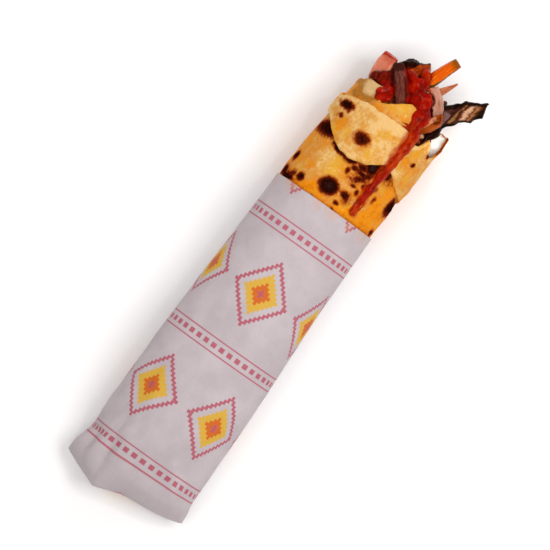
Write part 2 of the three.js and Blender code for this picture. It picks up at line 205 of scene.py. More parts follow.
class Skin:
    # Grids of points that meet at equal points, gathered into one closed surface.
    def __init__(self):
        self.points, self.faces, self.places, self.fields = [], [], [], []
        self.count = 0

    def add(self, points, places=None, present=None, fields=None):
        rows, columns = points.shape[:2]
        index = np.arange(rows * columns).reshape(rows, columns) + self.count
        corners = np.stack([index[:-1, :-1], index[:-1, 1:], index[1:, 1:], index[1:, :-1]], axis=-1)
        self.faces.append(corners[np.ones(corners.shape[:2], bool) if present is None else present])
        self.points.append(points.reshape(-1, 3))
        self.places.append(np.zeros((rows * columns, 2)) if places is None else places.reshape(-1, 2))
        self.fields.append({key: np.broadcast_to(value, (rows, columns)).ravel()
                            for key, value in (fields or {}).items()})
        self.count += rows * columns
        return index

    def bridge(self, corners):  # faces between points that are there already
        self.faces.append(np.asarray(corners).reshape(-1, 4))

    def build(self, name, sharp):  # edges past that angle stay sharp
        places = np.concatenate(self.places)
        mesh = bpy.data.meshes.new(name)
        points = insideCad(toFrame(np.concatenate(self.points)))
        mesh.from_pydata(points.tolist(), [], np.concatenate(self.faces).tolist())
        for key in self.fields[0]:
            setField(mesh, key, np.concatenate([fields[key] for fields in self.fields]))
        used = np.zeros(len(mesh.loops), np.int32)
        mesh.loops.foreach_get("vertex_index", used)
        mesh.uv_layers.new(name="flat").data.foreach_set("uv", places[used].astype(np.float32).ravel())
        bm = bmesh.new()
        bm.from_mesh(mesh)
        bmesh.ops.remove_doubles(bm, verts=bm.verts, dist=0.002 * mm)
        bmesh.ops.delete(bm, geom=[v for v in bm.verts if not v.link_faces], context="VERTS")
        bmesh.ops.recalc_face_normals(bm, faces=bm.faces)
        bm.to_mesh(mesh)
        bm.free()
        mesh.shade_smooth()
        mesh.set_sharp_from_angle(angle=math.radians(sharp))
        return newPiece(name, mesh)


def colour(code):  # linear colour of an sRGB code such as "e8c078"
    shares = [int(code[i:i + 2], 16) / 255 for i in (0, 2, 4)]
    return (*(s / 12.92 if s <= 0.04045 else ((s + 0.055) / 1.055) ** 2.4 for s in shares), 1)


shaderSockets = {
    "colour": "Base Color", "roughness": "Roughness", "normal": "Normal", "ior": "IOR",
    "specular": "Specular IOR Level", "tint": "Specular Tint", "scatter": "Subsurface Weight",
    "scatterColours": "Subsurface Radius", "scatterDepth": "Subsurface Scale",
}


class Recipe:
    # A material's node tree. Each method adds a node and returns its output.
    def __init__(self, name):
        self.material = bpy.data.materials.new(name)
        self.material.use_nodes = True
        self.tree = self.material.node_tree
        self.shader = self.tree.nodes["Principled BSDF"]

    def add(self, kind, inputs, output=0, **settings):
        node = self.tree.nodes.new("ShaderNode" + kind)
        for key, value in settings.items():
            setattr(node, key, value)
        for socket, value in inputs.items():
            self.feed(node.inputs[socket], value)
        return node.outputs[output]

    def feed(self, socket, value):
        if isinstance(value, bpy.types.NodeSocket):
            self.tree.links.new(value, socket)
        else:
            socket.default_value = value

    def place(self):
        return self.add("TexCoord", {}, "Object")

    def flat(self):
        return self.add("UVMap", {}, uv_map="flat")

    def field(self, name, vector=False):
        return self.add("Attribute", {}, "Vector" if vector else "Fac", attribute_name=name)

    def stretched(self, where, scale):
        return self.add("Mapping", {"Vector": where, "Scale": scale})

    def calc(self, operation, a, b=0.0, c=0.0):
        return self.add("Math", {0: a, 1: b, 2: c}, operation=operation)

    def plus(self, a, b):
        return self.calc("ADD", a, b)

    def minus(self, a, b):
        return self.calc("SUBTRACT", a, b)

    def times(self, a, b):
        return self.calc("MULTIPLY", a, b)

    def largest(self, a, b):
        return self.calc("MAXIMUM", a, b)

    def scaled(self, value, factor, added):
        return self.calc("MULTIPLY_ADD", value, factor, added)

    def roughened(self, value, noise, reach):  # a value moved up and down by a noise
        return self.plus(value, self.scaled(noise, reach, -reach / 2))

    def noise(self, where, size, detail=4.0, roughness=0.55, distortion=0.0):
        return self.add("TexNoise", {"Vector": where, "Scale": 1 / (size * mm), "Detail": detail,
                                     "Roughness": roughness, "Distortion": distortion})

    def ease(self, value, low, high, top=1.0):
        limits = {0: value, 1: low, 2: high, 3: 0.0, 4: top}
        return self.add("MapRange", limits, interpolation_type="SMOOTHSTEP")

    def blend(self, share, a, b):
        return self.add("Mix", {0: share, 6: a, 7: b}, 2, data_type="RGBA")

    def wash(self, shade, code, value, low, high, top=1.0):  # a colour laid on where the value is high
        return self.blend(self.ease(value, low, high, top), shade, colour(code))

    def ramp(self, value, stops):
        out = self.add("ValToRGB", {0: value})
        elements = out.node.color_ramp.elements
        while len(elements) < len(stops):
            elements.new(0.5)
        for element, (position, code) in zip(elements, stops):
            element.position = position
            element.color = colour(code)
        return out

    def bump(self, height, distance, normal=None):
        inputs = {"Height": height, "Distance": distance * mm, "Strength": 1.0}
        if normal is not None:
            inputs["Normal"] = normal
        return self.add("Bump", inputs)

    def finish(self, **inputs):
        for name, value in inputs.items():
            self.feed(self.shader.inputs[shaderSockets[name]], value)
        return self.material


print("camera, floor and lights")

view = {
    "turn": 54.5,  # the roll's direction in the picture, up from its horizontal
    "middle": (0.1, 2.9, 24.0),  # the point at the picture's centre
    "width": 275.0,  # what the picture takes in at that height
    "lens": 250.0,
}


def makeCamera():
    camera = bpy.data.cameras.new("camera")
    camera.lens = view["lens"]
    distance = view["width"] / 2 / (camera.sensor_width / 2 / camera.lens) * mm
    camera.clip_end = 20
    holder = bpy.data.objects.new("camera", camera)
    bpy.context.scene.collection.objects.link(holder)
    turned = Matrix.Rotation(math.radians(-view["turn"]), 4, "Z")
    middle = Matrix.Translation(Vector(view["middle"]) * mm)
    holder.matrix_world = middle @ turned @ Matrix.Translation((0, 0, distance))
    bpy.context.scene.camera = holder


studio = {
    "floor": "ffffff",
    "floorGrain": "f6f5f5",
    "floorSize": 4000.0,
    "floorDrop": 0.05,  # keeps the floor's face just clear of what rests on it
    "sky": "fffdfb",
    "skyStrength": 0.5,
    "lamps": [  # name, direction from the wrap, distance, side of the square lamp, watts
        ["key", (0.2, -0.45, 0.85), 900, 420, 3.4],
        ["overhead", (-0.25, 0.1, 1.0), 1000, 600, 2.6],
        ["mouthGlow", (0.9, 0.3, 0.4), 700, 200, 1.0],
        ["sparkle", (0.35, -0.2, 0.9), 900, 36, 0.5],
    ],
    "spots": [  # aim, spread in degrees, watts: along the line of sight, onto the bread's pale inside
        [(97.8, -24.6, 14.0), 0.95, 6.5],
        [(102.2, -25.8, 14.0), 0.95, 6.5],
    ],
    "spotDirection": (-0.052, 0.015, 1.0),
    "spotDistance": 600,
}


def addLamp(name, kind, away, place, watts):  # away points from the wrap towards the lamp
    lamp = bpy.data.lights.new(name, kind)
    lamp.energy = watts
    holder = bpy.data.objects.new(name, lamp)
    bpy.context.scene.collection.objects.link(holder)
    holder.location = place * mm
    holder.rotation_euler = away.to_track_quat("Z", "Y").to_euler()
    return lamp


def makeFloor():
    half = studio["floorSize"] / 2 * mm
    drop = -studio["floorDrop"] * mm
    mesh = bpy.data.meshes.new("floor")
    corners = [(-half, -half, drop), (half, -half, drop), (half, half, drop), (-half, half, drop)]
    mesh.from_pydata(corners, [], [(0, 1, 2, 3)])
    floor = newPiece("floor", mesh)
    recipe = Recipe("floor")
    grain = recipe.noise(recipe.place(), 60, 2)
    shade = recipe.blend(grain, colour(studio["floor"]), colour(studio["floorGrain"]))
    mesh.materials.append(recipe.finish(colour=shade, roughness=0.7))


def makeLamps():
    for name, direction, distance, side, watts in studio["lamps"]:
        away = Vector(direction).normalized()
        lamp = addLamp(name, "AREA", away, away * distance, watts)
        lamp.size = side * mm
    away = Vector(studio["spotDirection"]).normalized()
    for aim, spread, watts in studio["spots"]:
        lamp = addLamp("insideGlow", "SPOT", away, Vector(aim) + away * studio["spotDistance"], watts)
        lamp.spot_size = math.radians(spread)
        lamp.spot_blend = 1.0


def makeSky():
    world = bpy.data.worlds.new("studio")
    world.use_nodes = True
    sky = world.node_tree.nodes["Background"]
    sky.inputs["Color"].default_value = colour(studio["sky"])
    sky.inputs["Strength"].default_value = studio["skyStrength"]
    bpy.context.scene.world = world
    bpy.context.scene.view_settings.view_transform = "Standard"


makeCamera()
makeFloor()
makeLamps()
makeSky()


print("paper sleeve")

sleeve = {
    "sides": 240,
    "rowStep": 0.8,
    "innerStep": 2.6,  # between the rows of the wall's inner face
    "endRows": 22,
    "endColumns": [95, 216],  # the columns of the end's upper edge
    "endPairs": 190,  # the numbers of a column there and of the one below it add up to this
    "endX": 0.9,  # where the wall turns down into the end
    "bulge": 0.9,  # how far the end stands out between its top and bottom edge
    "tuck": 0.6,  # how far the corners are tucked in behind the middle of the end
    "wall": 0.35,
    "seamTurn": -127.5,  # lengthwise overlap
    "seamStep": 0.5,
    "softFolds": 0.3,
    "creases": 46,
    "radius": 29,  # the roll's mean radius, for places round it
    "folds": [  # on the upper side: x and y of both ends, height, half width
        [-3, 33, 28, 13, 1.7, 4.5], [-10, 15, 36, 21, -1.5, 5], [-2, 26, 22, 33, -1.3, 4],
        [-5, 4, 24, -5, 1.1, 5], [-4, -8, 32, -25, -1.1, 6], [-1, -26, 26, -13, 1.1, 5],
        [22, 31, 78, 22, 1.0, 5], [40, -20, 84, -28, 0.7, 6], [70, 12, 128, 24, -0.35, 6],
        [96, -18, 150, -26, 0.35, 6], [132, 22, 172, 26, 0.4, 5],
    ],
    "flapReach": 22.5,
    "flapThickness": 0.28,
}


def ridge(along, off, length, width):  # 1 in the middle of a fold's line, 0 at its ends and its sides
    return np.clip(1 - (2 * along / length) ** 2, 0, 1) * np.clip(1 - abs(off) / width, 0, 1)


def paperRelief(x, turn):  # how far the crumpled paper stands out
    angle = np.radians(turn)
    around = together(x / 2.6, 30 * np.sin(angle), 30 * np.cos(angle))
    towardsEnd = 1 - ease(x, 10, 70)
    relief = sleeve["softFolds"] * clouds(around, 15, 3) + (0.05 + 0.12 * towardsEnd) * clouds(around, 4.5, 9)
    draws = np.random.default_rng(11)
    for number in range(sleeve["creases"]):
        nearEnd = number % 2 == 0
        atX = draws.uniform(0, 45) if nearEnd else draws.uniform(30, 172)
        atTurn = draws.uniform(-180, 180)
        tilt = math.radians(draws.uniform(-70, 70) if nearEnd else draws.normal(0, 16))
        length = draws.uniform(14, 34) if nearEnd else draws.uniform(30, 90)
        height = draws.uniform(0.2, 0.55) * (1 if nearEnd else 0.6)
        width = draws.uniform(2.5, 7)
        across = np.radians(between(turn, atTurn)) * sleeve["radius"]
        along = (x - atX) * math.cos(tilt) + across * math.sin(tilt)
        off = across * math.cos(tilt) - (x - atX) * math.sin(tilt)
        relief = relief + height * (1 if number % 3 else -1) * ridge(along, off, length, width)
    y = outline(x, 3) - outline(x, 1) * np.sin(angle)
    for x0, y0, x1, y1, height, width in sleeve["folds"]:
        length = math.hypot(x1 - x0, y1 - y0)
        along = ((x - x0) * (x1 - x0) + (y - y0) * (y1 - y0)) / length
        off = ((y - y0) * (x1 - x0) - (x - x0) * (y1 - y0)) / length
        upper = ease(np.cos(angle), -0.3, 0.2)
        relief = relief + height * upper * ridge(along - length / 2, off, length, width)
    dent = np.exp(-(((x - 17) / 7) ** 2) - (between(turn, -90) / 18) ** 2)
    relief = relief - 1.3 * dent
    return relief * ease(roll["rimX"] - x, -1, 4) + 0.12 * cloud(around, 20, 5)


def makeSleeve():
    sides = sleeve["sides"]
    side = np.arange(sides + 1)
    turn = sleeve["seamTurn"] - 360 * side / sides
    overlap = np.where(side < sides, sleeve["seamStep"] * np.clip(1 - 360 * side / sides / 60, 0, 1), 0)
    turn[-1] = turn[0]  # the last column closes the ring on the first
    overlap[-1] = overlap[0]
    rows = int((roll["rimX"] - sleeve["endX"]) / sleeve["rowStep"])
    x = np.linspace(roll["rimX"], sleeve["endX"], rows)[:, None]
    relief = paperRelief(x, turn[None, :])
    lift = lookUp(roll["lift"], x)
    outer = bodyPoint(x, turn[None, :], -(overlap[None, :] + relief), lift)
    outer[..., 0] -= np.where(x == roll["rimX"], 0.2 * (1 + cloud(outer, 9, 2)), 0)
    skin = Skin()
    skin.add(outer, together(side / sides, x / roll["rimX"]))

    # the end: each point of its upper edge is joined to the point below it
    top = np.arange(*sleeve["endColumns"])
    below = (sleeve["endPairs"] - top) % sides
    down = np.linspace(0, 1, sleeve["endRows"])[:, None]

    def endFace(row, bulge, tuck):
        face = row[top][None] + (row[below] - row[top])[None] * down[..., None]
        aside = abs(face[..., 1]) / 34
        stand = bulge * (1 - (2 * down - 1) ** 4)
        corner = ease(aside, 1.02 - 0.8 * down, 1.06 - 0.8 * down)
        tucked = tuck * corner * ease(down, 0, 0.2) * ease(1 - down, 0, 0.1)
        wrinkle = 0.25 * clouds(face, 7, 4) * np.sin(np.pi * down)
        face[..., 0] += tucked - stand + wrinkle * (bulge > 0)
        return face

    end = endFace(outer[-1], sleeve["bulge"], sleeve["tuck"])
    skin.add(end, together(top / sides, -0.1 * down))

    # the wall's inner face, which keeps clear of the deepest dip near each of its rows
    gap = sleeve["innerStep"]
    innerX = np.linspace(roll["rimX"], 5, int(roll["rimX"] / gap))[:, None]
    reliefs = [paperRelief(innerX + shift * gap, turn[None, :]) for shift in (-1, -0.5, 0, 0.5, 1)]
    dips = np.minimum(np.min(reliefs, axis=0), 0) * ease(roll["rimX"] - innerX, 0, 3)
    floor = lookUp(roll["lift"], innerX) + sleeve["wall"]
    inner = bodyPoint(innerX, turn[None, :], sleeve["wall"] - dips, floor)
    inner[0, :, 0] = outer[0, :, 0]
    skin.add(inner, np.full((*inner.shape[:2], 2), 0.02))
    skin.add(endFace(inner[-1], 0, 0)[[0, -1]])
    skin.add(np.stack([outer[0], inner[0]]), np.full((2, sides + 1, 2), 0.02))
    return skin.build("paperSleeve", 75)


def makeEndFlap():  # the end of the sleeve, folded back underneath
    across = np.linspace(-1, 1, 60)[None, :]
    along = np.linspace(0, 1, 24)[:, None]
    y = across * (31.5 - 8.5 * along**1.5) + 0.3
    nearX = lookUp(roll["foldEdge"], y) + 1.6
    x = nearX + (sleeve["flapReach"] - 2.2 * abs(across) - nearX) * along
    face = together(x, y, 0)
    wave = 0.1 + 0.1 * clouds(face, 6, 8)
    upper = face.copy()
    upper[..., 2] = sleeve["flapThickness"] + wave
    face[..., 2] = np.maximum(wave - 0.08, 0)
    skin = Skin()
    places = together(0.5 + 0.18 * across, -0.1 - x / roll["rimX"])
    skin.add(upper, places)
    skin.add(face, places)
    for side in (np.s_[0, :], np.s_[-1, :], np.s_[:, 0], np.s_[:, -1]):
        skin.add(np.stack([upper[side], face[side]]))
    return skin.build("sleeveEndFlap", 40)


pattern = {  # printed on the sleeve
    "around": 5,  # how many diamonds lie round the sleeve
    "radius": 29.5,  # the sleeve's mean radius
    "pitch": 68.0,  # from one row of diamonds to the next
    "start": 16.0,  # x of the first dotted border
    "stairLong": 1.8,  # step of the diamonds' stair edges, along the roll
    "stairWide": 1.5,
    "steps": {"outline": 10.5, "gap": 9.0, "yellow": 6.5, "orange": 3.5, "centre": 1.2},  # each one's reach
    "dot": 1.35,  # half side of a border's square
    "line": 3.6,  # from a border's middle to the lines beside it
    "pink": "ad5464", "yellow": "d0a22c", "orange": "c85d1c",
}


def paperMaterial():
    recipe = Recipe("printedPaper")
    flat = recipe.flat()
    split = recipe.add("SeparateXYZ", {0: flat}).node
    turnShare, lengthShare = split.outputs[0], split.outputs[1]
    length = recipe.times(lengthShare, roll["rimX"])
    pitchAround = 2 * math.pi * pattern["radius"] / pattern["around"]
    topShare = (sleeve["seamTurn"] + 360) / 360

    def folded(value, pitch):  # distance to the nearest multiple of the pitch
        nearest = recipe.times(recipe.calc("ROUND", recipe.calc("DIVIDE", value, pitch)), pitch)
        return recipe.calc("ABSOLUTE", recipe.minus(value, nearest))

    def under(value, limit, soft=0.25):  # 1 where value is below limit
        return recipe.minus(1.0, recipe.ease(value, limit - soft, limit + soft))

    around = recipe.times(recipe.minus(turnShare, topShare), pitchAround * pattern["around"])
    rowLength = recipe.minus(length, pattern["start"] + pattern["pitch"] / 2)
    rowNumber = recipe.calc("ROUND", recipe.calc("DIVIDE", rowLength, pattern["pitch"]))
    odd = recipe.calc("ABSOLUTE", recipe.calc("MODULO", rowNumber, 2.0))
    shifted = recipe.plus(around, recipe.times(recipe.minus(1.0, odd), pitchAround / 2))
    stepsWide = recipe.calc("DIVIDE", folded(shifted, pitchAround), pattern["stairWide"])
    stepsWide = recipe.calc("ROUND", stepsWide)
    stepsLong = recipe.calc("DIVIDE", folded(rowLength, pattern["pitch"]), pattern["stairLong"])
    reach = recipe.plus(stepsWide, stepsLong)
    ink = {key: under(reach, limit, 0.05) for key, limit in pattern["steps"].items()}
    outlineInk = recipe.minus(ink["outline"], ink["gap"])
    fromBorder = folded(recipe.minus(length, pattern["start"]), pattern["pitch"])
    dots = under(folded(around, pitchAround / 8), pattern["dot"])
    dots = recipe.times(dots, under(fromBorder, pattern["dot"]))
    line = under(recipe.calc("ABSOLUTE", recipe.minus(fromBorder, pattern["line"])), 0.35)

    where = recipe.place()
    mottle = recipe.noise(where, 14, 4)
    fibre = recipe.noise(recipe.stretched(where, (0.5, 1.0, 1.0)), 0.5, 3, 0.7)
    bare = recipe.blend(recipe.ease(mottle, 0.3, 0.7), colour("b5a9ad"), colour("c0b4b7"))
    bare = recipe.wash(bare, "a89da1", fibre, 0.35, 0.8, 0.35)
    pink = recipe.largest(recipe.largest(outlineInk, ink["centre"]), recipe.largest(dots, line))
    worn = recipe.ease(recipe.noise(where, 1.1, 3, 0.7), 0.25, 0.5)

    def inked(base, mask, code):
        share = recipe.times(mask, recipe.scaled(worn, 0.18, 0.78))
        return recipe.blend(share, base, colour(code))

    shade = inked(bare, ink["yellow"], pattern["yellow"])
    shade = inked(shade, ink["orange"], pattern["orange"])
    shade = inked(shade, pink, pattern["pink"])
    greasy = recipe.ease(recipe.noise(where, 6, 3), 0.45, 0.62, 0.5)
    greasy = recipe.times(recipe.ease(lengthShare, 0.95, 1.0), greasy)
    shade = recipe.blend(greasy, shade, colour("c79a80"))
    crumple = recipe.add("TexVoronoi", {"Vector": where, "Scale": 1 / (26 * mm)}, feature="DISTANCE_TO_EDGE")
    normal = recipe.bump(recipe.ease(crumple, 0.0, 0.12), 0.12, recipe.bump(mottle, 0.4))
    return recipe.finish(colour=shade, roughness=recipe.scaled(fibre, 0.2, 0.55),
                         normal=recipe.bump(fibre, 0.05, normal), specular=0.2)


paperFinish = paperMaterial()
dress(makeSleeve(), paperFinish, "paper", "paper_sleeve")
dress(makeEndFlap(), paperFinish, "paper", "paper_sleeve")


print("flatbread")

bread = {
    "thickness": 1.6,
    "base": 0.95,  # depth of the sheet's outer face where it lies under the sleeve's rim
    "sunk": 1.3,  # how much deeper it lies further in, clear of the paper's folds
    "pitch": 2.0,  # from one turn's outer face to the next one's
    "firstWind": -512.0,  # the inner end, as a winding angle, which runs against the turn angles
    "flapWind": -144.0,  # where the outermost turn leaves the full-length sheet
    "lastWind": 136.0,  # the outer end
    "windStep": 1.6,
    "climb": 60.0,  # winding angle over which the sheet climbs onto the turn below it
    "flapX": 190.0,  # x up to which the rows run straight round
    "hiddenRows": [16, 40, 80, 120, 150, 164],  # x of the rows inside the sleeve
    "rowStep": 0.75,
    "mouthRows": 58,
    "edgeRadius": 0.75,
    "flare": (0, -1.3, -4.5),  # how far the wall on the right is bent out at the mouth
    "mouthEdge": [  # winding angle, x
        [-512, 219], [-400, 219], [-388, 230], [-378, 238], [-367, 238.4], [-356, 235.4], [-345, 231.6],
        [-337, 230], [-328, 237], [-300, 237.5], [-285, 235.5], [-230, 237], [-180, 236.5],
        [-98, 236.5], [-91, 224], [-70, 222.5], [-61, 222.5], [-55, 226], [-48, 229], [-40, 223], [-32, 222],
        [-22, 226], [0, 226.5], [25, 226.5], [50, 225], [80, 223], [136, 227],
    ],
    "outerEdge": [  # edge of the outermost turn across the shown side
        [-144, 190], [-72, 196], [-48, 200], [-36, 203.5], [-23, 205.5], [-8, 200],
        [10, 198], [23, 199], [34, 201], [47, 205], [61, 209], [95, 215], [136, 222],
    ],
    "blisters": [  # turn, x, radius, height
        [-9, 181, 6, 0.5], [9, 182, 4, 0.4], [-39, 177, 5, 0.4], [55, 190, 6, 0.5],
        [-10, 209, 7, 0.6], [-46, 218, 6, 0.5], [52, 213, 5, 0.4], [20, 196, 6, 0.4],
        [100, 200, 7, 0.5], [-110, 190, 7, 0.5], [170, 205, 8, 0.3], [-75, 200, 6, 0.4],
    ],
    # Two burns, at x 201, y -8.8 and at x 204.6, y 21.6, are partly painted shade in the gap under the
    # outermost turn's edge.
    "burns": [  # x, y, half length, half width, strength, and the layer: 0 both, 1 under, 2 outermost
        [219.6, 20.6, 2.5, 4.7, 1.0, 2], [209.5, 4.8, 3.5, 5.1, 0.8, 2], [181.0, 4.6, 4.3, 4.8, 1.3, 1],
        [217.0, 18.0, 1.5, 1.4, 0.6, 2], [193.2, -16.1, 1.8, 1.0, 0.55, 1], [190.8, -10.6, 3.4, 1.1, 0.62, 1],
        [184.8, -11.6, 2.6, 1.0, 0.55, 1], [181.9, -4.6, 2.2, 2.6, 0.9, 1], [176.8, 18.8, 2.3, 2.0, 1.0, 1],
        [173.6, 24.2, 1.6, 3.0, 1.0, 1], [176.4, -3.2, 1.5, 1.8, 0.9, 1], [172.8, -3.6, 1.2, 1.5, 0.9, 1],
        [192.6, 1.2, 1.9, 1.4, 0.8, 1],
        [195.6, -1.2, 1.6, 2.2, 0.8, 1], [188.0, -5.6, 1.2, 2.4, 0.8, 1], [192.0, -5.2, 1.5, 2.0, 0.75, 1],
        [195.4, -5.4, 1.3, 2.6, 0.85, 1], [198.0, -4.4, 1.6, 3.0, 0.85, 1], [186.6, -8.4, 1.6, 1.2, 0.8, 1],
        [190.4, -9.6, 1.4, 1.1, 0.75, 1], [196.0, -8.8, 1.9, 1.6, 0.8, 1], [201.0, -8.8, 4.2, 3.4, 1.3, 1],
        [190.0, -26.8, 5.4, 2.5, 1.0, 0], [213.6, -22.9, 1.6, 1.6, 0.95, 2], [222.0, -26.4, 2.2, 1.3, 0.8, 2],
        [176.0, 27.2, 3.2, 1.6, 0.9, 1], [185.0, 26.6, 3.4, 1.4, 0.9, 1], [213.4, 20.6, 1.6, 1.6, 0.62, 2],
        [204.6, 21.6, 4.6, 7.6, 1.0, 1], [200.4, 12.6, 1.9, 3.6, 0.95, 1], [188.2, -17.6, 2.6, 1.3, 0.62, 1],
        [202.0, -17.0, 3.0, 1.4, 0.7, 1], [174.6, -26.4, 2.6, 1.2, 0.8, 1],
    ],
    "browned": [  # x, y, radius, and how much more toasted
        [184.0, 18.6, 3.0, 0.32], [176.5, 11.9, 3.4, 0.3], [175.5, -12.0, 4.0, 0.15],
        [186.0, -18.0, 6.0, 0.1], [178.0, -20.0, 6.0, 0.06], [206.0, 20.0, 3.5, 0.3],
        [211.0, 17.0, 3.0, 0.25], [216.0, -19.0, 5.0, 0.2], [190.0, 14.0, 5.0, -0.25],
        [184.0, -1.0, 3.0, -0.15], [196.0, 14.0, 4.0, -0.2], [205.0, -19.0, 3.0, -0.3],
        [222.0, 0.0, 6.0, -0.2], [226.0, 12.0, 5.0, -0.15], [214.0, -8.0, 4.0, -0.15],
        # the row at x 223.6, y -7.6 is a painted highlight on the outermost turn's torn edge
        [174.6, 2.0, 3.0, -0.1], [223.6, -7.6, 2.6, -0.4], [219.6, -9.4, 2.0, 0.3],
    ],
    "speckled": [  # x, y, radius, strength
        [194, -5, 5.5, 0.95], [175, 23, 4, 0.8], [200, -17, 4, 0.7], [181, -7, 3.5, 0.75],
    ],
    "yellow": [  # x, y, radius
        [194.6, 8.9, 5.5], [187.0, 8.0, 4.0], [176.0, -8.5, 3.0], [234.0, -3.0, 4.5],
    ],
    "curledEndPlace": [234.3, 15.4, 6.5],  # x, y, radius
    "curledEndSpots": [[233.6, 21.8, 3.2], [227.2, 20, 3.6], [227.8, 13.0, 2.0]],
    "hiddenBurns": 34,
    "dripPath": [[175.6, -12.6], [200, -13.4], [225, -13.4], [240, -12.6]],  # x, y of the stain
    "radius": 27,  # the roll's mean radius at the mouth
    "upperRadius": 28.5,  # the same for its upper side
    "perDegree": 0.47,  # length along the sheet for a degree of winding
}


def sheetDepth(wind):  # how deep the sheet's outer face lies: each full turn is a pitch further out
    starts = (bread["flapWind"] - 360, bread["flapWind"])
    climbs = sum(np.clip((wind - start) / bread["climb"], 0, 1) for start in starts)
    return bread["base"] + bread["pitch"] * (1 - climbs)


def blister(turn, x):  # how far the puffed-up spots stand out
    total = 0
    for atTurn, atX, radius, height in bread["blisters"]:
        across = np.radians(between(turn, atTurn)) * bread["radius"]
        total = total + height * np.exp(-((across / radius) ** 2) - ((x - atX) / radius) ** 2)
    return total


def hiddenBurns(x, turn, ragged):  # on the sides and the underside
    field = np.zeros(ragged.shape)
    draws = np.random.default_rng(5)
    for number in range(bread["hiddenBurns"]):
        atX, atTurn = draws.uniform(172, 236), draws.uniform(100, 260)
        size = draws.uniform(0.8, 2.2) if number % 3 else draws.uniform(2.4, 4.6)
        across = np.radians(between(turn, atTurn)) * bread["radius"]
        distance = np.hypot((x - atX) / size, across / (size * draws.uniform(0.8, 1.4))) + ragged / size
        field = np.maximum(field, draws.uniform(0.7, 1.0) * np.clip(1.5 - distance, 0, 1))
    return field


def burnField(points, turn, onFlap):  # 0 bare, 0.5 at a burn's edge, 1 inside
    x, y = points[..., 0], points[..., 1]
    radius = bread["upperRadius"]
    ragged = 0.6 * cloud(points, 3.6, 5) + 0.3 * cloud(points, 1.8, 6)
    field = hiddenBurns(x, turn, ragged)
    for atX, atY, halfLong, halfWide, strength, layer in bread["burns"]:
        atTurn = -math.asin(max(-0.98, min(0.98, atY / radius)))
        halfRound = 1.5 * halfWide / max(math.cos(atTurn), 0.35)
        across = np.radians(between(turn, math.degrees(atTurn))) * radius / halfRound
        aside = np.maximum(abs(y - atY) / halfWide, abs(across))
        distance = np.hypot((x - atX) / halfLong, aside) + 2 * ragged / (halfLong + halfWide)
        there = (layer == 0) | (onFlap == (layer == 2))
        field = np.maximum(field, there * strength * np.clip(1.42 - distance, 0, 1))
    specks = onTop(turn) * ~onFlap * (0.45 + 0.55 * ease(cloud(points, 3.2, 8), -0.4, 0.5))
    for atX, atY, reach, strength in bread["speckled"]:
        field = np.maximum(field, strength * specks * spot(x - atX, y - atY, reach))
    return field


def toastField(points, turn, onFlap, fromEdge):  # 0 pale cream, 0.5 golden, 1 orange brown, with painted shade by the sleeve's rim and a painted highlight along the outermost turn's mouth edge
    x, y = points[..., 0], points[..., 1]
    field = 0.4 + 0.14 * clouds(points, 13, 21) + 0.1 * clouds(points, 4, 24)
    field = field + np.where(onFlap, -0.2, 0.08)
    # painted shade: browner in a band by the sleeve's rim
    field = field + 0.2 * np.exp(-(((x - 172) / 5) ** 2))
    field = field + np.where(onFlap, 0.2, 0.22) * ease(-y, 13, 24)
    field = field + 0.34 * onFlap * ease(y, 13, 22) * (1 - ease(x, 208, 218))
    field = field + 0.25 * ease(-np.cos(np.radians(turn)), -0.2, 0.6)
    for atX, atY, radius, more in bread["browned"]:
        field = field + more * spot(x - atX, y - atY, radius) * onTop(turn)
    # painted highlight: paler along the outermost turn's edge at the mouth
    field = field - 0.35 * onFlap * (x > 205) * np.exp(-(((fromEdge - 1.2) / 1.4) ** 2))
    return field + 0.2 * np.exp(-fromEdge / 0.5)


def yellowField(points, turn):  # where the bread is a clear yellow
    x, y = points[..., 0], points[..., 1]
    return onTop(turn) * sum(spot(x - atX, y - atY, radius) for atX, atY, radius in bread["yellow"])


def curledEndAndShadeField(points, turn, onFlap):  # the greyish cream corner behind the flap, with painted olive-brown shade round its curled edge
    x, y = points[..., 0], points[..., 1]
    cornerX, cornerY, cornerReach = bread["curledEndPlace"]
    corner = spot((x - cornerX) * 0.8, y - cornerY, cornerReach)
    for atX, atY, radius in bread["curledEndSpots"]:
        corner = np.maximum(corner, 0.55 * spot(x - atX, y - atY, radius))
    return corner * onTop(turn) * ~onFlap


def breadGrid():  # where the sheet's points lie along and round the roll
    step = bread["windStep"]
    columns = round((bread["lastWind"] - bread["firstWind"]) / step)
    wind = bread["firstWind"] + step * np.arange(columns + 1)
    onFlap = wind > bread["flapWind"] + step / 2
    fine = np.arange(roll["rimX"] - 2, bread["flapX"], bread["rowStep"])
    rowsX = np.array([*bread["hiddenRows"], *fine, bread["flapX"]])
    share = np.linspace(0, 1, bread["mouthRows"] + 1)[1:, None]
    around = together(wind * bread["perDegree"], 0, 0)
    ragged = 0.55 * clouds(around, 7, 12) + 0.2 * cloud(around, 1.6, 13)
    outerX = np.where(onFlap, lookUp(bread["outerEdge"], wind) + ragged, bread["flapX"])
    mouthX = lookUp(bread["mouthEdge"], wind) + np.roll(ragged, 40) - 0.3
    full = np.where(onFlap[None, :], outerX[None, :], rowsX[:, None])
    x = np.concatenate([full, outerX + share * (mouthX - outerX)])
    present = np.ones((x.shape[0] - 1, columns), bool)
    present[:len(rowsX) - 1, onFlap[1:]] = False
    fromEdge = np.minimum(mouthX - x, (bread["lastWind"] - wind) * bread["perDegree"])
    tear = np.hypot(np.maximum(x - bread["flapX"], 0), (bread["flapWind"] - wind) * bread["perDegree"])
    fromEdge = np.minimum(fromEdge, np.where(onFlap, x - outerX, tear))
    return wind, x, x - outerX, fromEdge, np.broadcast_to(onFlap, x.shape), present


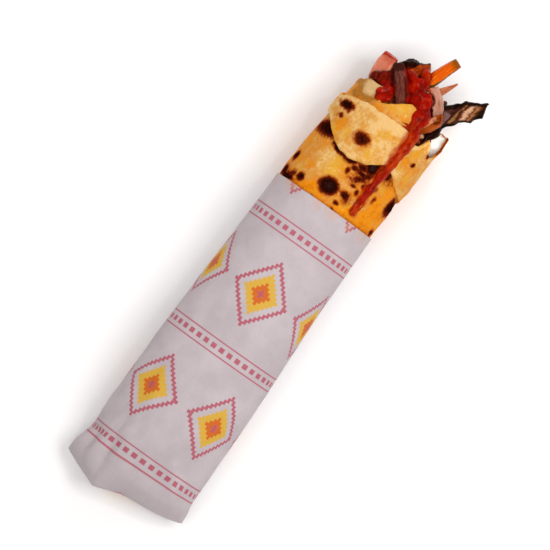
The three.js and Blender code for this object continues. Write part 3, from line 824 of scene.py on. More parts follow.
def breadFaces(wind, x, pastEdge, fromEdge, onFlap):  # both faces, and how far the wall is bent out
    turn = -wind[None, :]
    slim = onFlap * ease(turn, 42, 58) * (1 - ease(turn, 118, 140)) * (1 - ease(pastEdge, 0, 8))
    radius = bread["edgeRadius"]
    rounding = radius * (1 - np.sqrt(1 - (1 - np.clip(fromEdge / radius, 0, 1)) ** 2)) * (1 - 0.6 * slim)
    place = bodyPoint(x, turn, sheetDepth(wind))
    outside = ease(x, roll["rimX"] + 0.5, roll["rimX"] + 4)
    covered = (wind <= bread["flapWind"] - 220) & (x > 190)  # by the outermost turn
    puffs = np.where(covered, 0, blister(turn, x))
    grain = 0.2 * clouds(place, 7, 31) + 0.13 * clouds(place, 2.4, 34)
    relief = puffs * outside + grain * np.where(covered, 0.35, 1.0) * outside
    depth = sheetDepth(wind) + bread["sunk"] * (1 - ease(x, 150, 168))
    outer = bodyPoint(x, turn, depth - relief + rounding + 1.1 * slim)
    innerDepth = depth + bread["thickness"] - 0.15 * clouds(place, 5, 41) * outside
    inner = bodyPoint(x, turn, innerDepth - rounding + 0.25 * slim)
    flare = onFlap * ease(x, 223, 229) * (1 - ease(turn, 98, 138)) * ease(turn, 80, 92)
    for face in (outer, inner):
        face += flare[..., None] * np.array(bread["flare"])
    return outer, inner, flare


def edgeShadeAndBurn(outer, x, turn, onFlap):  # painted shadow under the outermost turn's edge mixed with browning there, and painted shade by the sleeve's rim
    line = np.exp(-(((x - lookUp(bread["outerEdge"], -between(turn, 0)) + 0.9) / 1.5) ** 2))
    leftOfDrip = ease(between(turn, -36), 0, 6) * (1 - ease(between(turn, 22), 0, 6))
    line = line * leftOfDrip * ~onFlap * (0.8 + 0.5 * cloud(outer, 3, 44))
    return np.maximum(np.clip(line, 0, 1) * 0.9, 0.3 * np.exp(-(((x - roll["rimX"]) / 1.6) ** 2)))


def stainField(outer, turn):  # where the sauce has soaked in
    path = np.array(bread["dripPath"])
    aside = abs(outer[..., 1] - np.interp(outer[..., 0], path[:, 0], path[:, 1]))
    spread = 2.6 + 1.2 * cloud(outer, 2.2, 51) + 0.8 * ease(outer[..., 0], 222, 232)
    stain = (1 - ease(aside, spread - 1.4, spread + 0.5)) * ease(outer[..., 0], 174.4, 176.5)
    return stain * onTop(turn)


def makeBread():
    wind, x, pastEdge, fromEdge, onFlap, present = breadGrid()
    outer, inner, flare = breadFaces(wind, x, pastEdge, fromEdge, onFlap)
    turn = -wind[None, :]
    rimBrown = 0.6 * np.clip(flare * 4, 0, 1) * np.exp(-fromEdge / 0.9)
    # burnt holds the burns and also painted shade along the outermost turn's edge and by the sleeve's rim
    burnt = np.maximum(burnField(outer, turn, onFlap), edgeShadeAndBurn(outer, x, turn, onFlap))
    skin = Skin()
    outerIndex = skin.add(outer, present=present, fields={
        "burnt": np.maximum(burnt, rimBrown),
        "toast": toastField(outer, turn, onFlap, fromEdge),
        "stain": stainField(outer, turn),
        "curledEndAndShade": curledEndAndShadeField(outer, turn, onFlap),
        "yellow": yellowField(outer, turn),
        "inside": 0.0,
    })
    innerIndex = skin.add(inner, present=present, fields={
        "burnt": np.maximum(0.55 * np.maximum(burnt - 0.6, 0), rimBrown),
        "toast": 0.1 + 0.6 * np.exp(-fromEdge / 0.7),
        "stain": 0.0,
        "curledEndAndShade": 0.0,
        "yellow": 0.0,
        "inside": ease(fromEdge, 0.3, 1.0),
    })

    # the rim: where a cell has no neighbour, its edge is joined to the same edge of the other face
    framed = np.pad(present, 1)
    sides = [
        ((-1, 0), (0, 0), (0, 1)), ((1, 0), (1, 0), (1, 1)),
        ((0, -1), (0, 0), (1, 0)), ((0, 1), (0, 1), (1, 1)),
    ]
    for (down, right), first, second in sides:
        neighbour = framed[1 + down:framed.shape[0] - 1 + down, 1 + right:framed.shape[1] - 1 + right]
        r, c = np.nonzero(present & ~neighbour)
        a, b = (r + first[0], c + first[1]), (r + second[0], c + second[1])
        skin.bridge(np.stack([outerIndex[a], outerIndex[b], innerIndex[b], innerIndex[a]], axis=-1))
    return skin.build("bakedFlatbread", 80)


def breadMaterial():
    recipe = Recipe("bakedFlatbread")
    where = recipe.place()
    patches = recipe.noise(where, 6, 5, 0.62)
    freckles = recipe.noise(where, 1.5, 3, 0.6)
    fine = recipe.noise(where, 0.45, 3, 0.6)
    toast = recipe.roughened(recipe.field("toast"), patches, 1.4)
    toast = recipe.plus(toast, recipe.scaled(freckles, 0.45, -0.22))
    shade = recipe.ramp(toast, [(0.0, "e0b676"), (0.2, "d69f54"), (0.4, "d2903f"), (0.58, "d68422"),
                                (0.8, "e48c12"), (1.0, "d47a0a")])
    golden = recipe.ease(recipe.noise(where, 9, 3, 0.5, 0.4), 0.52, 0.66, 0.5)
    golden = recipe.largest(golden, recipe.times(recipe.field("yellow"), 0.75))
    middling = recipe.times(recipe.ease(toast, 0.0, 0.3), recipe.ease(toast, 0.8, 0.6))
    shade = recipe.blend(recipe.times(golden, middling), shade, colour("dca634"))
    freckled = recipe.times(recipe.ease(freckles, 0.64, 0.74, 0.5), recipe.ease(toast, 0.75, 0.5))
    shade = recipe.blend(freckled, shade, colour("b5661c"))
    flour = recipe.ease(recipe.noise(where, 2.6, 4, 0.7), 0.54, 0.7, 0.4)
    flour = recipe.times(flour, recipe.ease(toast, 0.75, 0.45))
    shade = recipe.blend(flour, shade, colour("ecc896"))
    curledEndAndShade = recipe.roughened(recipe.field("curledEndAndShade"), freckles, 0.5)
    # painted shade: olive brown round the curled corner's edge, cream within
    shade = recipe.wash(shade, "a0641a", curledEndAndShade, 0.12, 0.5, 0.9)
    curledEndCream = recipe.blend(patches, colour("e2c090"), colour("c49858"))
    shade = recipe.blend(recipe.ease(curledEndAndShade, 0.5, 0.85), shade, curledEndCream)
    inside = recipe.blend(recipe.ease(patches, 0.55, 0.75, 0.5), colour("fbf3ea"), colour("f0dcc0"))
    shade = recipe.blend(recipe.field("inside"), shade, inside)
    burnt = recipe.roughened(recipe.field("burnt"), fine, 0.3)
    uneven = recipe.times(recipe.scaled(freckles, 0.7, -0.35), recipe.ease(burnt, 0.05, 0.35))
    burnt = recipe.plus(burnt, uneven)
    # the burnt colours also lay painted shade along the outermost turn's edge and by the sleeve's rim
    shade = recipe.wash(shade, "ae5010", burnt, 0.06, 0.42, 0.9)
    shade = recipe.wash(shade, "601a08", burnt, 0.34, 0.6)
    shade = recipe.wash(shade, "260804", burnt, 0.55, 0.95)
    ash = recipe.times(recipe.ease(burnt, 1.15, 1.7), recipe.ease(patches, 0.25, 0.55))
    shade = recipe.blend(ash, shade, colour("3c2f2d"))
    stain = recipe.field("stain")
    shade = recipe.blend(recipe.times(stain, 0.85), shade, colour("b02c04"))
    rough = recipe.scaled(stain, -0.35, 0.66)
    normal = recipe.bump(fine, 0.09, recipe.bump(freckles, 0.25, recipe.bump(patches, 0.6)))
    return recipe.finish(colour=shade, roughness=rough, normal=normal, tint=colour("e8a050"), ior=1.3,
                         specular=recipe.ease(burnt, 0.6, 0.2, 0.3),
                         scatter=0.25, scatterColours=(1.0, 0.8, 0.6), scatterDepth=2.5 * mm)


dress(makeBread(), breadMaterial(), "bread", "flatbread")


def makeTree(name, inputs):  # a Geometry Nodes tree with named inputs
    tree = bpy.data.node_groups.new(name, "GeometryNodeTree")
    tree.interface.new_socket("Geometry", in_out="INPUT", socket_type="NodeSocketGeometry")
    for label, kind in inputs.items():
        tree.interface.new_socket(label, in_out="INPUT", socket_type="NodeSocket" + kind)
    tree.interface.new_socket("Geometry", in_out="OUTPUT", socket_type="NodeSocketGeometry")
    given = tree.nodes.new("NodeGroupInput")

    def add(kind, sockets, **settings):
        node = tree.nodes.new(kind)
        for key, value in settings.items():
            setattr(node, key, value)
        for socket, value in sockets.items():
            if isinstance(value, bpy.types.NodeSocket):
                tree.links.new(value, node.inputs[socket])
            else:
                node.inputs[socket].default_value = value
        return node

    return tree, given.outputs, add


def runTree(name, mesh, tree, settings):  # the tree's result as a plain mesh
    piece = newPiece(name, mesh)
    modifier = piece.modifiers.new(tree.name, "NODES")
    modifier.node_group = tree
    for item in tree.interface.items_tree:
        if item.in_out == "INPUT" and item.name in settings:
            modifier[item.identifier] = settings[item.name]
    evaluated = piece.evaluated_get(bpy.context.evaluated_depsgraph_get())
    made = bpy.data.meshes.new_from_object(evaluated)
    piece.modifiers.clear()
    piece.data = made
    made.name = name
    return piece


print("sauce")

sauce = {
    "voxel": 0.34,
    "dripTurn": 28,
    "drip": [  # x, depth, width, thickness
        [175.8, 0.5, 3.6, 1.1], [178.5, 0.4, 5.6, 1.6], [182, 0.5, 4.6, 1.5], [188, 0.5, 4.4, 1.6],
        [194, 0.4, 4.4, 1.9], [200, 0.2, 4.6, 2.2], [203.2, -1.5, 4.8, 2.2], [210, -1.5, 5.2, 2.2],
        [218, -1.5, 5.6, 2.5], [225, -1.7, 6.4, 2.8],
    ],
    "spread": [  # x, y, z, width, thickness over the filling
        [229, -13.4, 44.6, 6.4, 3.0], [232, -13.4, 44.3, 8.6, 3.2], [236, -13.2, 43.4, 8.8, 3.8],
        [240, -11.4, 42.4, 9.4, 4.4], [243.4, -6.8, 41.0, 10.4, 4.8], [247, -2.6, 39.9, 8.0, 4.8],
        [249.4, 2.0, 38.4, 5.4, 4.2], [250.2, 4.6, 37.6, 3.0, 3.0],
    ],
    "arm": [[246, -5.2, 40.0, 6.0, 3.4], [250.6, -4.9, 38.7, 6.0, 3.2], [254.2, -3.1, 37.5, 5.2, 3.0],
            [257.0, -1.8, 35.9, 3.0, 2.2]],
    "smear": [  # x, turn, depth, width, thickness
        [227.8, 25, -0.6, 4.0, 2.2], [227.6, 16, -0.2, 3.2, 1.8], [227.0, 9, 0.1, 2.0, 1.2],
    ],
    "dab": [[229.8, 10.4, 42.6, 3.0, 1.8], [232.4, 9.2, 42.0, 7.6, 2.4], [235.6, 8.4, 41.1, 9.0, 2.6],
            [239.0, 9.2, 39.6, 6.0, 2.2]],
    "pulp": 0.24,  # how far bits in the sauce stand out
    "beadStep": 0.55,
    "smoothing": 14,
    "thinUntil": [222, 234],  # x over which the run over the bread thickens
    "shadedMiddle": (192, 10),  # x and radius of a stretch of the run painted darker, as painted shade
    "paleTip": (256, -4.2, 3.2),  # x, y, radius
}


def sauceBeads(stations, ups, seed):  # centres and radii of the beads that melt into one run
    draws = np.random.default_rng(seed)
    stations = np.array(stations, float)
    reach = np.r_[0, np.cumsum(np.linalg.norm(np.diff(stations[:, :3], axis=0), axis=1))]
    centres, radii = [], []
    for at in np.arange(0, reach[-1], sauce["beadStep"]):
        x, y, z, width, thickness = (np.interp(at, reach, stations[:, k]) for k in range(5))
        ahead = np.array([np.interp(at + 0.5, reach, stations[:, k]) - v for k, v in enumerate((x, y, z))])
        side = np.cross(ahead, ups)
        side /= np.linalg.norm(side) + 1e-9
        width *= 1 + 0.13 * math.sin(at * 0.7 + seed) + 0.06 * math.sin(at * 1.5 + 1)
        thickness *= 1 + 0.15 * math.sin(at * 0.9 + 2 * seed)
        for offset in np.linspace(-1, 1, max(2, int(width / 1.0))):
            offset += 0.1 * math.sin(at * 0.8 + 2 * offset) + draws.uniform(-0.01, 0.01)
            radius = 0.5 * thickness * (1 - 0.4 * offset**2) * draws.uniform(0.95, 1.05)
            centre = np.array([x, y, z]) + side * offset * max(0, width / 2 - radius)
            centres.append(centre + np.array(ups) * (0.5 * thickness - radius) * -0.6)
            radii.append(radius)
    return centres, radii


def sauceTree():  # melts a cloud of beads into one skin
    tree, given, add = makeTree("melted beads", {"Voxel": "Float", "Finish": "Material"})
    stored = add("GeometryNodeInputNamedAttribute", {"Name": "radius"}, data_type="FLOAT")
    radius = stored.outputs["Attribute"]
    beads = add("GeometryNodeMeshToPoints", {"Mesh": given["Geometry"], "Radius": radius})
    body = add("GeometryNodePointsToVolume", {"Points": beads.outputs[0], "Voxel Size": given["Voxel"],
                                              "Radius": radius}, resolution_mode="VOXEL_SIZE")
    skin = add("GeometryNodeVolumeToMesh", {"Volume": body.outputs[0], "Voxel Size": given["Voxel"],
                                            "Threshold": 0.1}, resolution_mode="VOXEL_SIZE")
    loose = add("GeometryNodeRealizeInstances", {"Geometry": skin.outputs[0]})
    done = add("GeometryNodeSetMaterial", {"Geometry": loose.outputs[0], "Material": given["Finish"]})
    add("NodeGroupOutput", {"Geometry": done.outputs[0]})
    return tree


def sauceMaterial():
    recipe = Recipe("redSauce")
    where = recipe.place()
    thick = recipe.noise(where, 5, 3)
    pulp = recipe.noise(where, 0.9, 4, 0.65)
    shade = recipe.ramp(thick, [(0.32, "640400"), (0.48, "840600"), (0.6, "9c0e00"), (0.74, "b62a00")])
    smears = recipe.noise(recipe.stretched(where, (0.35, 1.0, 1.0)), 2.2, 2, 0.5)
    thinShade = recipe.ramp(smears, [(0.34, "861000"), (0.5, "a62600"), (0.64, "b63c08")])
    shade = recipe.blend(recipe.times(recipe.field("thin"), 0.9), shade, thinShade)
    shade = recipe.wash(shade, "b03408", pulp, 0.6, 0.76, 0.5)
    shade = recipe.wash(shade, "5c0602", pulp, 0.4, 0.26, 0.5)
    ripples = recipe.noise(where, 2.4, 1, 0.4)
    normal = recipe.bump(ripples, 0.35, recipe.bump(thick, 0.4))
    return recipe.finish(colour=shade, roughness=recipe.scaled(pulp, 0.1, 0.06), normal=normal,
                         specular=0.42, tint=(1.0, 0.4, 0.28, 1.0), ior=1.25)


def makeSauce(name, runs, finish, node):  # each run has its stations, its way up and a seed
    beads = [sauceBeads(stations, ups, seed) for stations, ups, seed in runs]
    mesh = bpy.data.meshes.new(name)
    centres = toFrame(np.concatenate([centres for centres, radii in beads]))
    mesh.from_pydata(centres.tolist(), [], [])
    setField(mesh, "radius", np.concatenate([radii for centres, radii in beads]) * mm)
    piece = runTree(name, mesh, sauceTree(), {"Voxel": sauce["voxel"] * mm, "Finish": finish})
    settle(piece, sauce["smoothing"])
    points, normals = toRoll(pointsOf(piece.data)), normalsOf(piece.data)
    points += normals * (sauce["pulp"] * (clouds(points, 5.5, 61) + 0.2 * clouds(points, 2.2, 64)))[:, None]
    placePoints(piece, points)
    x, y = points[:, 0], points[:, 1]
    shadeX, shadeReach = sauce["shadedMiddle"]
    tipX, tipY, tipReach = sauce["paleTip"]
    # the run is painted darker round its middle stretch, as painted shade
    thin = (1 - ease(x, *sauce["thinUntil"])) * (1 - 0.95 * spot(x - shadeX, 0, shadeReach))
    setField(piece.data, "thin", np.maximum(thin, 0.9 * spot(x - tipX, y - tipY, tipReach)))
    return dress(piece, finish, "sauce", node)


def placePoints(piece, points):
    piece.data.vertices.foreach_set("co", insideCad(toFrame(points)).ravel())
    piece.data.update()
    piece.data.shade_smooth()


def settle(piece, rounds):  # smooths a skin of small faces
    soft = piece.modifiers.new("soft", "SMOOTH")
    soft.factor, soft.iterations = 0.5, rounds
    made = bpy.data.meshes.new_from_object(piece.evaluated_get(bpy.context.evaluated_depsgraph_get()))
    piece.modifiers.clear()
    piece.data = made
    made.name = piece.name


def onBody(rows):  # rows of x, turn, depth, width and thickness, with their places worked out
    return [[*bodyPoint(x, turn, depth), width, thickness] for x, turn, depth, width, thickness in rows]


dripTurn = math.radians(sauce["dripTurn"])
drip = onBody([[x, sauce["dripTurn"], *rest] for x, *rest in sauce["drip"]])
sauceFinish = sauceMaterial()
sauces = [
    makeSauce("redSauce", [
        (drip + sauce["spread"][:1], (0, -math.sin(dripTurn), math.cos(dripTurn)), 3),
        (sauce["spread"], (0, -0.25, 0.97), 4),
        (sauce["arm"], (0, -0.25, 0.97), 6),
        (onBody(sauce["smear"]), (0, -0.3, 0.95), 8),
    ], sauceFinish, "sauce"),
    makeSauce("redSauceDab", [(sauce["dab"], (0, 0.2, 0.98), 5)], sauceFinish, "sauce_dab"),
]


print("filling")

filling = {
    "voxel": 0.42,
    "glazeReach": 3.2,  # how far from the sauce its colour runs over the pieces
}


def evenCopy(node, name, voxel, soften):  # the solid's shape as a skin of small, even faces
    bm = bmesh.new()
    bm.from_mesh(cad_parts[node].data)
    bmesh.ops.remove_doubles(bm, verts=bm.verts, dist=0.001 * mm)
    mesh = bpy.data.meshes.new(name)
    bm.to_mesh(mesh)
    bm.free()
    piece = newPiece(name, mesh)
    even = piece.modifiers.new("even", "REMESH")
    even.mode, even.voxel_size = "VOXEL", voxel * mm
    settle(piece, soften)
    return piece


def grainOf(points):  # places along, across and over a piece's own length, in mm from its middle
    middle = points.mean(axis=0)
    axes = np.linalg.svd(points - middle, full_matrices=False)[2]
    axes *= np.where(np.sum(axes * np.eye(3), axis=1) < 0, -1, 1)[:, None]
    grain = (points - middle) @ axes.T
    for side in (1, 2):
        bend = np.polyfit(grain[:, 0], grain[:, side], 2)
        grain[:, side] -= np.polyval(bend, grain[:, 0])
    return grain


sauceSurface = []
for piece in sauces:
    corners = [vertex.co.copy() for vertex in piece.data.vertices]
    faces = [tuple(face.vertices) for face in piece.data.polygons]
    sauceSurface.append(BVHTree.FromPolygons(corners, faces))


def glazeField(points):  # 1 by the sauce, 0 away from it
    reach = filling["glazeReach"] * mm
    nearest = np.full(len(points), reach)
    for surface in sauceSurface:
        for i, point in enumerate(points):
            found = surface.find_nearest(Vector(point), reach)
            if found[3] is not None:
                nearest[i] = min(nearest[i], found[3])
    rolled = toRoll(points)
    ragged = 0.8 * clouds(rolled, 2.4, 71)
    return 1 - ease(nearest / mm + ragged, 0.2, filling["glazeReach"] - 0.4)


def makeFilling(spec):  # one piece of the filling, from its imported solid
    piece = evenCopy(spec["node"], spec["name"], spec.get("voxel", filling["voxel"]), spec["soften"])
    points, normals = toRoll(pointsOf(piece.data)), normalsOf(piece.data)
    grain = grainOf(points)
    for shape, size, height, stretch in spec["relief"]:
        lift = shape(grain / (stretch, 1, 1), size, len(spec["name"]))
        points = points + normals * (height * lift)[:, None]
    if "shape" in spec:
        points = spec["shape"](points, normals, grain)
    placePoints(piece, points)
    normals = normalsOf(piece.data)
    facing, low, high = spec["rind"]
    toward = normals @ (np.array(facing) / np.linalg.norm(facing))
    setField(piece.data, "grain", grain * mm)
    rind = ease(toward + 0.3 * clouds(points, 4, 77), low, high)
    for centre, toward, start, end in spec.get("rindBeyond", []):  # lines in plan
        reach = (points[:, :2] - centre) @ np.array(toward) + 0.6 * cloud(points, 3, 80)
        rind = np.maximum(rind, ease(reach, start, end))
    if "stripe" in spec:  # burnt along both edges
        rind = np.maximum(rind, 1 - ease(fromRim(grainOf(points)) + 0.6 * cloud(points, 2.5, 78), 1.2, 2.3))
    setField(piece.data, "rind", rind)
    glaze = glazeField(pointsOf(piece.data)) * spec.get("glazed", 1.0)
    setField(piece.data, "glaze", glaze)
    # a streak is a painted highlight, a pale stroke between two places in plan
    if "streak" in spec:
        setField(piece.data, "streak", paintedHighlightField(points, *spec["streak"]))
    if "stripe" in spec:
        setField(piece.data, "stripe", spec["stripe"](points))
    return dress(piece, finishes[spec["finish"]], spec["slot"], spec["node"])


def fromRim(grain):  # distance from a strip's long edges
    place = np.round((grain[:, 0] - grain[:, 0].min()) / 0.6).astype(int)
    lowest, highest = np.full(place.max() + 1, np.inf), np.full(place.max() + 1, -np.inf)
    np.minimum.at(lowest, place, grain[:, 1])
    np.maximum.at(highest, place, grain[:, 1])
    return np.minimum(grain[:, 1] - lowest[place], highest[place] - grain[:, 1])


def paintedHighlightField(points, start, end, halfWidth):  # a painted highlight: a pale streak between two places in plan
    run = np.array(end, float) - start
    along = np.clip((points[:, :2] - start) @ run / (run @ run), 0, 1)
    away = np.linalg.norm(points[:, :2] - start - along[:, None] * run, axis=1)
    return 1 - ease(away + 0.5 * cloud(points, 2, 82), halfWidth - 0.5, halfWidth + 0.5)


def sauced(recipe, shade, rough, normal, **more):  # sauce that has run onto a piece
    glaze = recipe.field("glaze")
    shade = recipe.blend(recipe.times(glaze, 0.8), shade, colour("940c03"))
    rough = recipe.times(rough, recipe.scaled(glaze, -0.6, 1.0))
    return recipe.finish(colour=shade, roughness=rough, normal=normal, **more)


def meatMaterial(name, look):
    recipe = Recipe(name)
    grain, where = recipe.field("grain", vector=True), recipe.place()
    fibres = recipe.noise(recipe.stretched(grain, (0.2, 1, 1)), 1.0, 5, 0.62)
    lumps = recipe.noise(where, 3.4, 4, 0.6)
    fine = recipe.noise(where, 0.5, 3, 0.6)
    shade = recipe.ramp(fibres, [(0.3, look["deep"]), (0.5, look["base"]), (0.7, look["pale"])])
    shade = recipe.wash(shade, look["patch"], lumps, 0.52, 0.7, 0.7)
    rind = recipe.roughened(recipe.field("rind"), lumps, 0.8)
    shade = recipe.wash(shade, look["crust"], rind, 0.35, 0.65)
    shade = recipe.wash(shade, look["pale"], fine, 0.62, 0.75, 0.35)
    # painted highlight along the streak
    shade = recipe.blend(recipe.times(recipe.field("streak"), 0.85), shade, colour("d07a50"))
    normal = recipe.bump(fine, 0.12, recipe.bump(fibres, 0.35, recipe.bump(lumps, 0.7)))
    rough = recipe.scaled(lumps, 0.3, look["rough"] - 0.15)
    return sauced(recipe, shade, rough, normal, specular=look["shine"], tint=colour(look["pale"]), ior=1.35)


def vegetableMaterial(name, look):
    recipe = Recipe(name)
    grain, where = recipe.field("grain", vector=True), recipe.place()
    streaks = recipe.noise(recipe.stretched(grain, (0.08, 1, 1)), look["streak"], 4, 0.6)
    patches = recipe.noise(where, 3, 4, 0.6)
    shade = recipe.ramp(streaks, [(0.3, look["deep"]), (0.5, look["base"]), (0.7, look["pale"])])
    shade = recipe.wash(shade, look["patch"], patches, 0.5, 0.72, 0.6)
    rind = recipe.roughened(recipe.field("rind"), patches, 0.5)
    shade = recipe.wash(shade, look["skin"], rind, 0.4, 0.6)
    if "tip" in look:  # the end of the piece: from, to, colour
        along = recipe.roughened(recipe.add("SeparateXYZ", {0: grain}), patches, 4 * mm)
        start, end, code = look["tip"]
        shade = recipe.wash(shade, code, along, start * mm, end * mm)
    # painted highlight along the streak
    shade = recipe.blend(recipe.times(recipe.field("streak"), 0.8), shade, colour("da9468"))
    normal = recipe.bump(streaks, 0.18, recipe.bump(patches, 0.4))
    rough = recipe.scaled(patches, 0.25, look["rough"] - 0.12)
    return sauced(recipe, shade, rough, normal, specular=0.4, tint=colour(look["pale"]),
                  scatter=look["scatter"], scatterColours=look["scatterColours"], scatterDepth=2 * mm)


def charredMaterial():  # stripes between two burnt edges
    recipe = Recipe("charredStrip")
    grain, where = recipe.field("grain", vector=True), recipe.place()
    wander = recipe.noise(recipe.stretched(grain, (0.35, 1, 1)), 4.5, 4, 0.6)
    fine = recipe.noise(recipe.stretched(grain, (0.15, 1, 1)), 0.7, 4, 0.6)
    share = recipe.roughened(recipe.field("stripe"), wander, 0.3)
    share = recipe.roughened(share, fine, 0.16)
    shade = recipe.ramp(share, [(0.1, "0c0402"), (0.2, "1c0a05"), (0.27, "64300f"), (0.34, "a8704a"),
                                (0.39, "54220f"), (0.45, "cf9a76"), (0.52, "dcae8c"), (0.58, "6a2c14"),
                                (0.65, "2a0d08"), (0.71, "a06e40"), (0.76, "54281a"), (0.83, "200a06"),
                                (0.91, "4c2622"), (1.0, "805e5a")])
    burnt = recipe.ease(recipe.noise(where, 3.2, 4, 0.65), 0.58, 0.68, 0.8)
    shade = recipe.blend(recipe.largest(burnt, recipe.field("rind")), shade, colour("120503"))
    normal = recipe.bump(fine, 0.3, recipe.bump(wander, 0.8))
    return sauced(recipe, shade, recipe.scaled(fine, 0.3, 0.35), normal,
                  specular=0.2, tint=colour("b07850"))


def stripeField(points):  # 0.5 in the middle of the pale stripe, which runs along the roll
    aside = points[:, 1] + 29.5 + 0.15 * (points[:, 0] - 245)
    share = 0.5 + 0.07 * aside
    nearFilling = 1 - ease(points[:, 0] + clouds(points, 4, 84), 244.5, 247)  # where it is mauve, not black
    return np.minimum(share, 0.85) + 0.15 * nearFilling * ease(share, 0.76, 0.86)


def curlStrip(points, normals, grain):  # ruffles and ragged edges
    reach = np.abs(grain[:, 1]) / 6.2
    ruffle = 1.1 * reach**2 * np.sin(grain[:, 0] * 0.75 + 2.4 * np.sign(grain[:, 1]))
    nick = 0.9 * ease(reach, 0.5, 1.0) * cloud(together(grain[:, 0], np.sign(grain[:, 1]) * 9, 0), 2.6, 83)
    across = axisAcross(points, grain)
    inward = -np.sign(grain[:, 1])[:, None] * across
    pointed = 0.75 * ease(grain[:, 0], grain[:, 0].max() - 6, grain[:, 0].max())
    points = points - across * (pointed * (grain[:, 1] - 3.2))[:, None]
    points = points + np.array([0, 0, 1]) * ruffle[:, None]
    return points + inward * (nick + 0.5 * ease(reach, 0.6, 1))[:, None]


def trimChunk(points, normals, grain):  # a lower corner, and a nub at its right
    x, y = points[:, 0], points[:, 1]
    shift = together(3.2 * spot(x - 258, y + 1.4, 1.9) - 2.0 * spot(x - 260.5, y - 4.2, 3.4), 0, 0)
    return points + shift


def dipPetal(points, normals, grain):  # its lower end goes under the pepper, its inner side under the sauce
    aside = (points[:, :2] - (247, -12)) @ np.array((-0.58, 0.81))
    inner = ease(aside, -1, 1.5) * (1 - ease(-points[:, 1], 14, 18))
    points = points + inner[:, None] * np.array((-2.7, 3.9, -1.6))
    corner = spot(points[:, 0] - 251.4, points[:, 1] + 8.4, 2.6)
    points = points + corner[:, None] * np.array((-2.2, 1.5, 0))
    return points - np.array([0, 0, 4.0]) * ease(-points[:, 1], 14, 20)[:, None]


def trimPepper(points, normals, grain):  # its right end is drawn back
    ahead = np.array((0.6, -0.8))
    along = (points[:, :2] - (241, -20.5)) @ ahead
    back = 0.7 * np.maximum(along - 0.5, 0)
    return points - back[:, None] * np.array((*ahead, 0))


def thinAside(points, normals, grain):  # a wedge, thinner at one side
    y, z = points[:, 1], points[:, 2]
    middle = z.mean()
    share = ease(y, y.min(), y.max())
    return together(points[:, 0], y, middle + (z - middle) * (1 - 0.6 * share))


def shortenPepper(points, normals, grain):
    x, y, z = points.T
    return together(np.minimum(x, 240) + 0.5 * np.maximum(x - 240, 0), y, z)


def axisAcross(points, grain):  # the way in which the across place grows
    fit = np.linalg.lstsq(np.c_[grain[:, 1], np.ones(len(grain))], points, rcond=None)[0][0]
    return fit / np.linalg.norm(fit)


meatLooks = {
    "glazed": {"deep": "3c0602", "base": "5c0e04", "pale": "861f0c", "patch": "4c0803", "crust": "260402",
               "rough": 0.3, "shine": 0.5},
    "sliced": {"deep": "441c16", "base": "602c24", "pale": "80483c", "patch": "4e221a", "crust": "361009",
               "rough": 0.36, "shine": 0.3},
    "crusted": {"deep": "5a1a08", "base": "963606", "pale": "bc5c18", "patch": "80240a", "crust": "180503",
                "rough": 0.4, "shine": 0.2},
    "browned": {"deep": "421608", "base": "6a2c12", "pale": "905028", "patch": "54200e", "crust": "220a04",
                "rough": 0.5, "shine": 0.2},
    "chopped": {"deep": "3a1207", "base": "62260f", "pale": "8f4c26", "patch": "7a2208", "crust": "200804",
                "rough": 0.45, "shine": 0.2},
}
vegetableLooks = {
    "tomato": {"deep": "c4644a", "base": "d07a60", "pale": "dc9078", "patch": "c25638", "skin": "8e1c10",
               "streak": 4.0, "rough": 0.3, "tip": (4.5, 12.0, "a82c18"),
               "scatter": 0.25, "scatterColours": (1.0, 0.25, 0.12)},
    "carrot": {"deep": "b8400a", "base": "dc5a08", "pale": "ea7a1c", "patch": "cc4c06", "skin": "6e4208",
               "streak": 0.8, "rough": 0.36, "tip": (10.0, 14.0, "864606"),
               "scatter": 0.1, "scatterColours": (1.0, 0.35, 0.08)},
    "onion": {"deep": "9c5a40", "base": "b88068", "pale": "d4a692", "patch": "ac6e56", "skin": "a04c20",
              "streak": 0.7, "rough": 0.26, "scatter": 0.2, "scatterColours": (1.0, 0.5, 0.35)},
    "shallot": {"deep": "7e3a1e", "base": "b0603a", "pale": "cc8c66", "patch": "9a4c28", "skin": "54220f",
                "streak": 0.7, "rough": 0.3, "scatter": 0.15, "scatterColours": (1.0, 0.5, 0.35)},
    "pepper": {"deep": "702806", "base": "98400c", "pale": "b85e28", "patch": "8a340a", "skin": "5c1c0a",
               "streak": 1.0, "rough": 0.28, "scatter": 0.1, "scatterColours": (1.0, 0.3, 0.1)},
}
finishes = {key: meatMaterial(key + "Meat", look) for key, look in meatLooks.items()}
finishes.update({key: vegetableMaterial(key + "Flesh", look) for key, look in vegetableLooks.items()})
finishes["charred"] = charredMaterial()
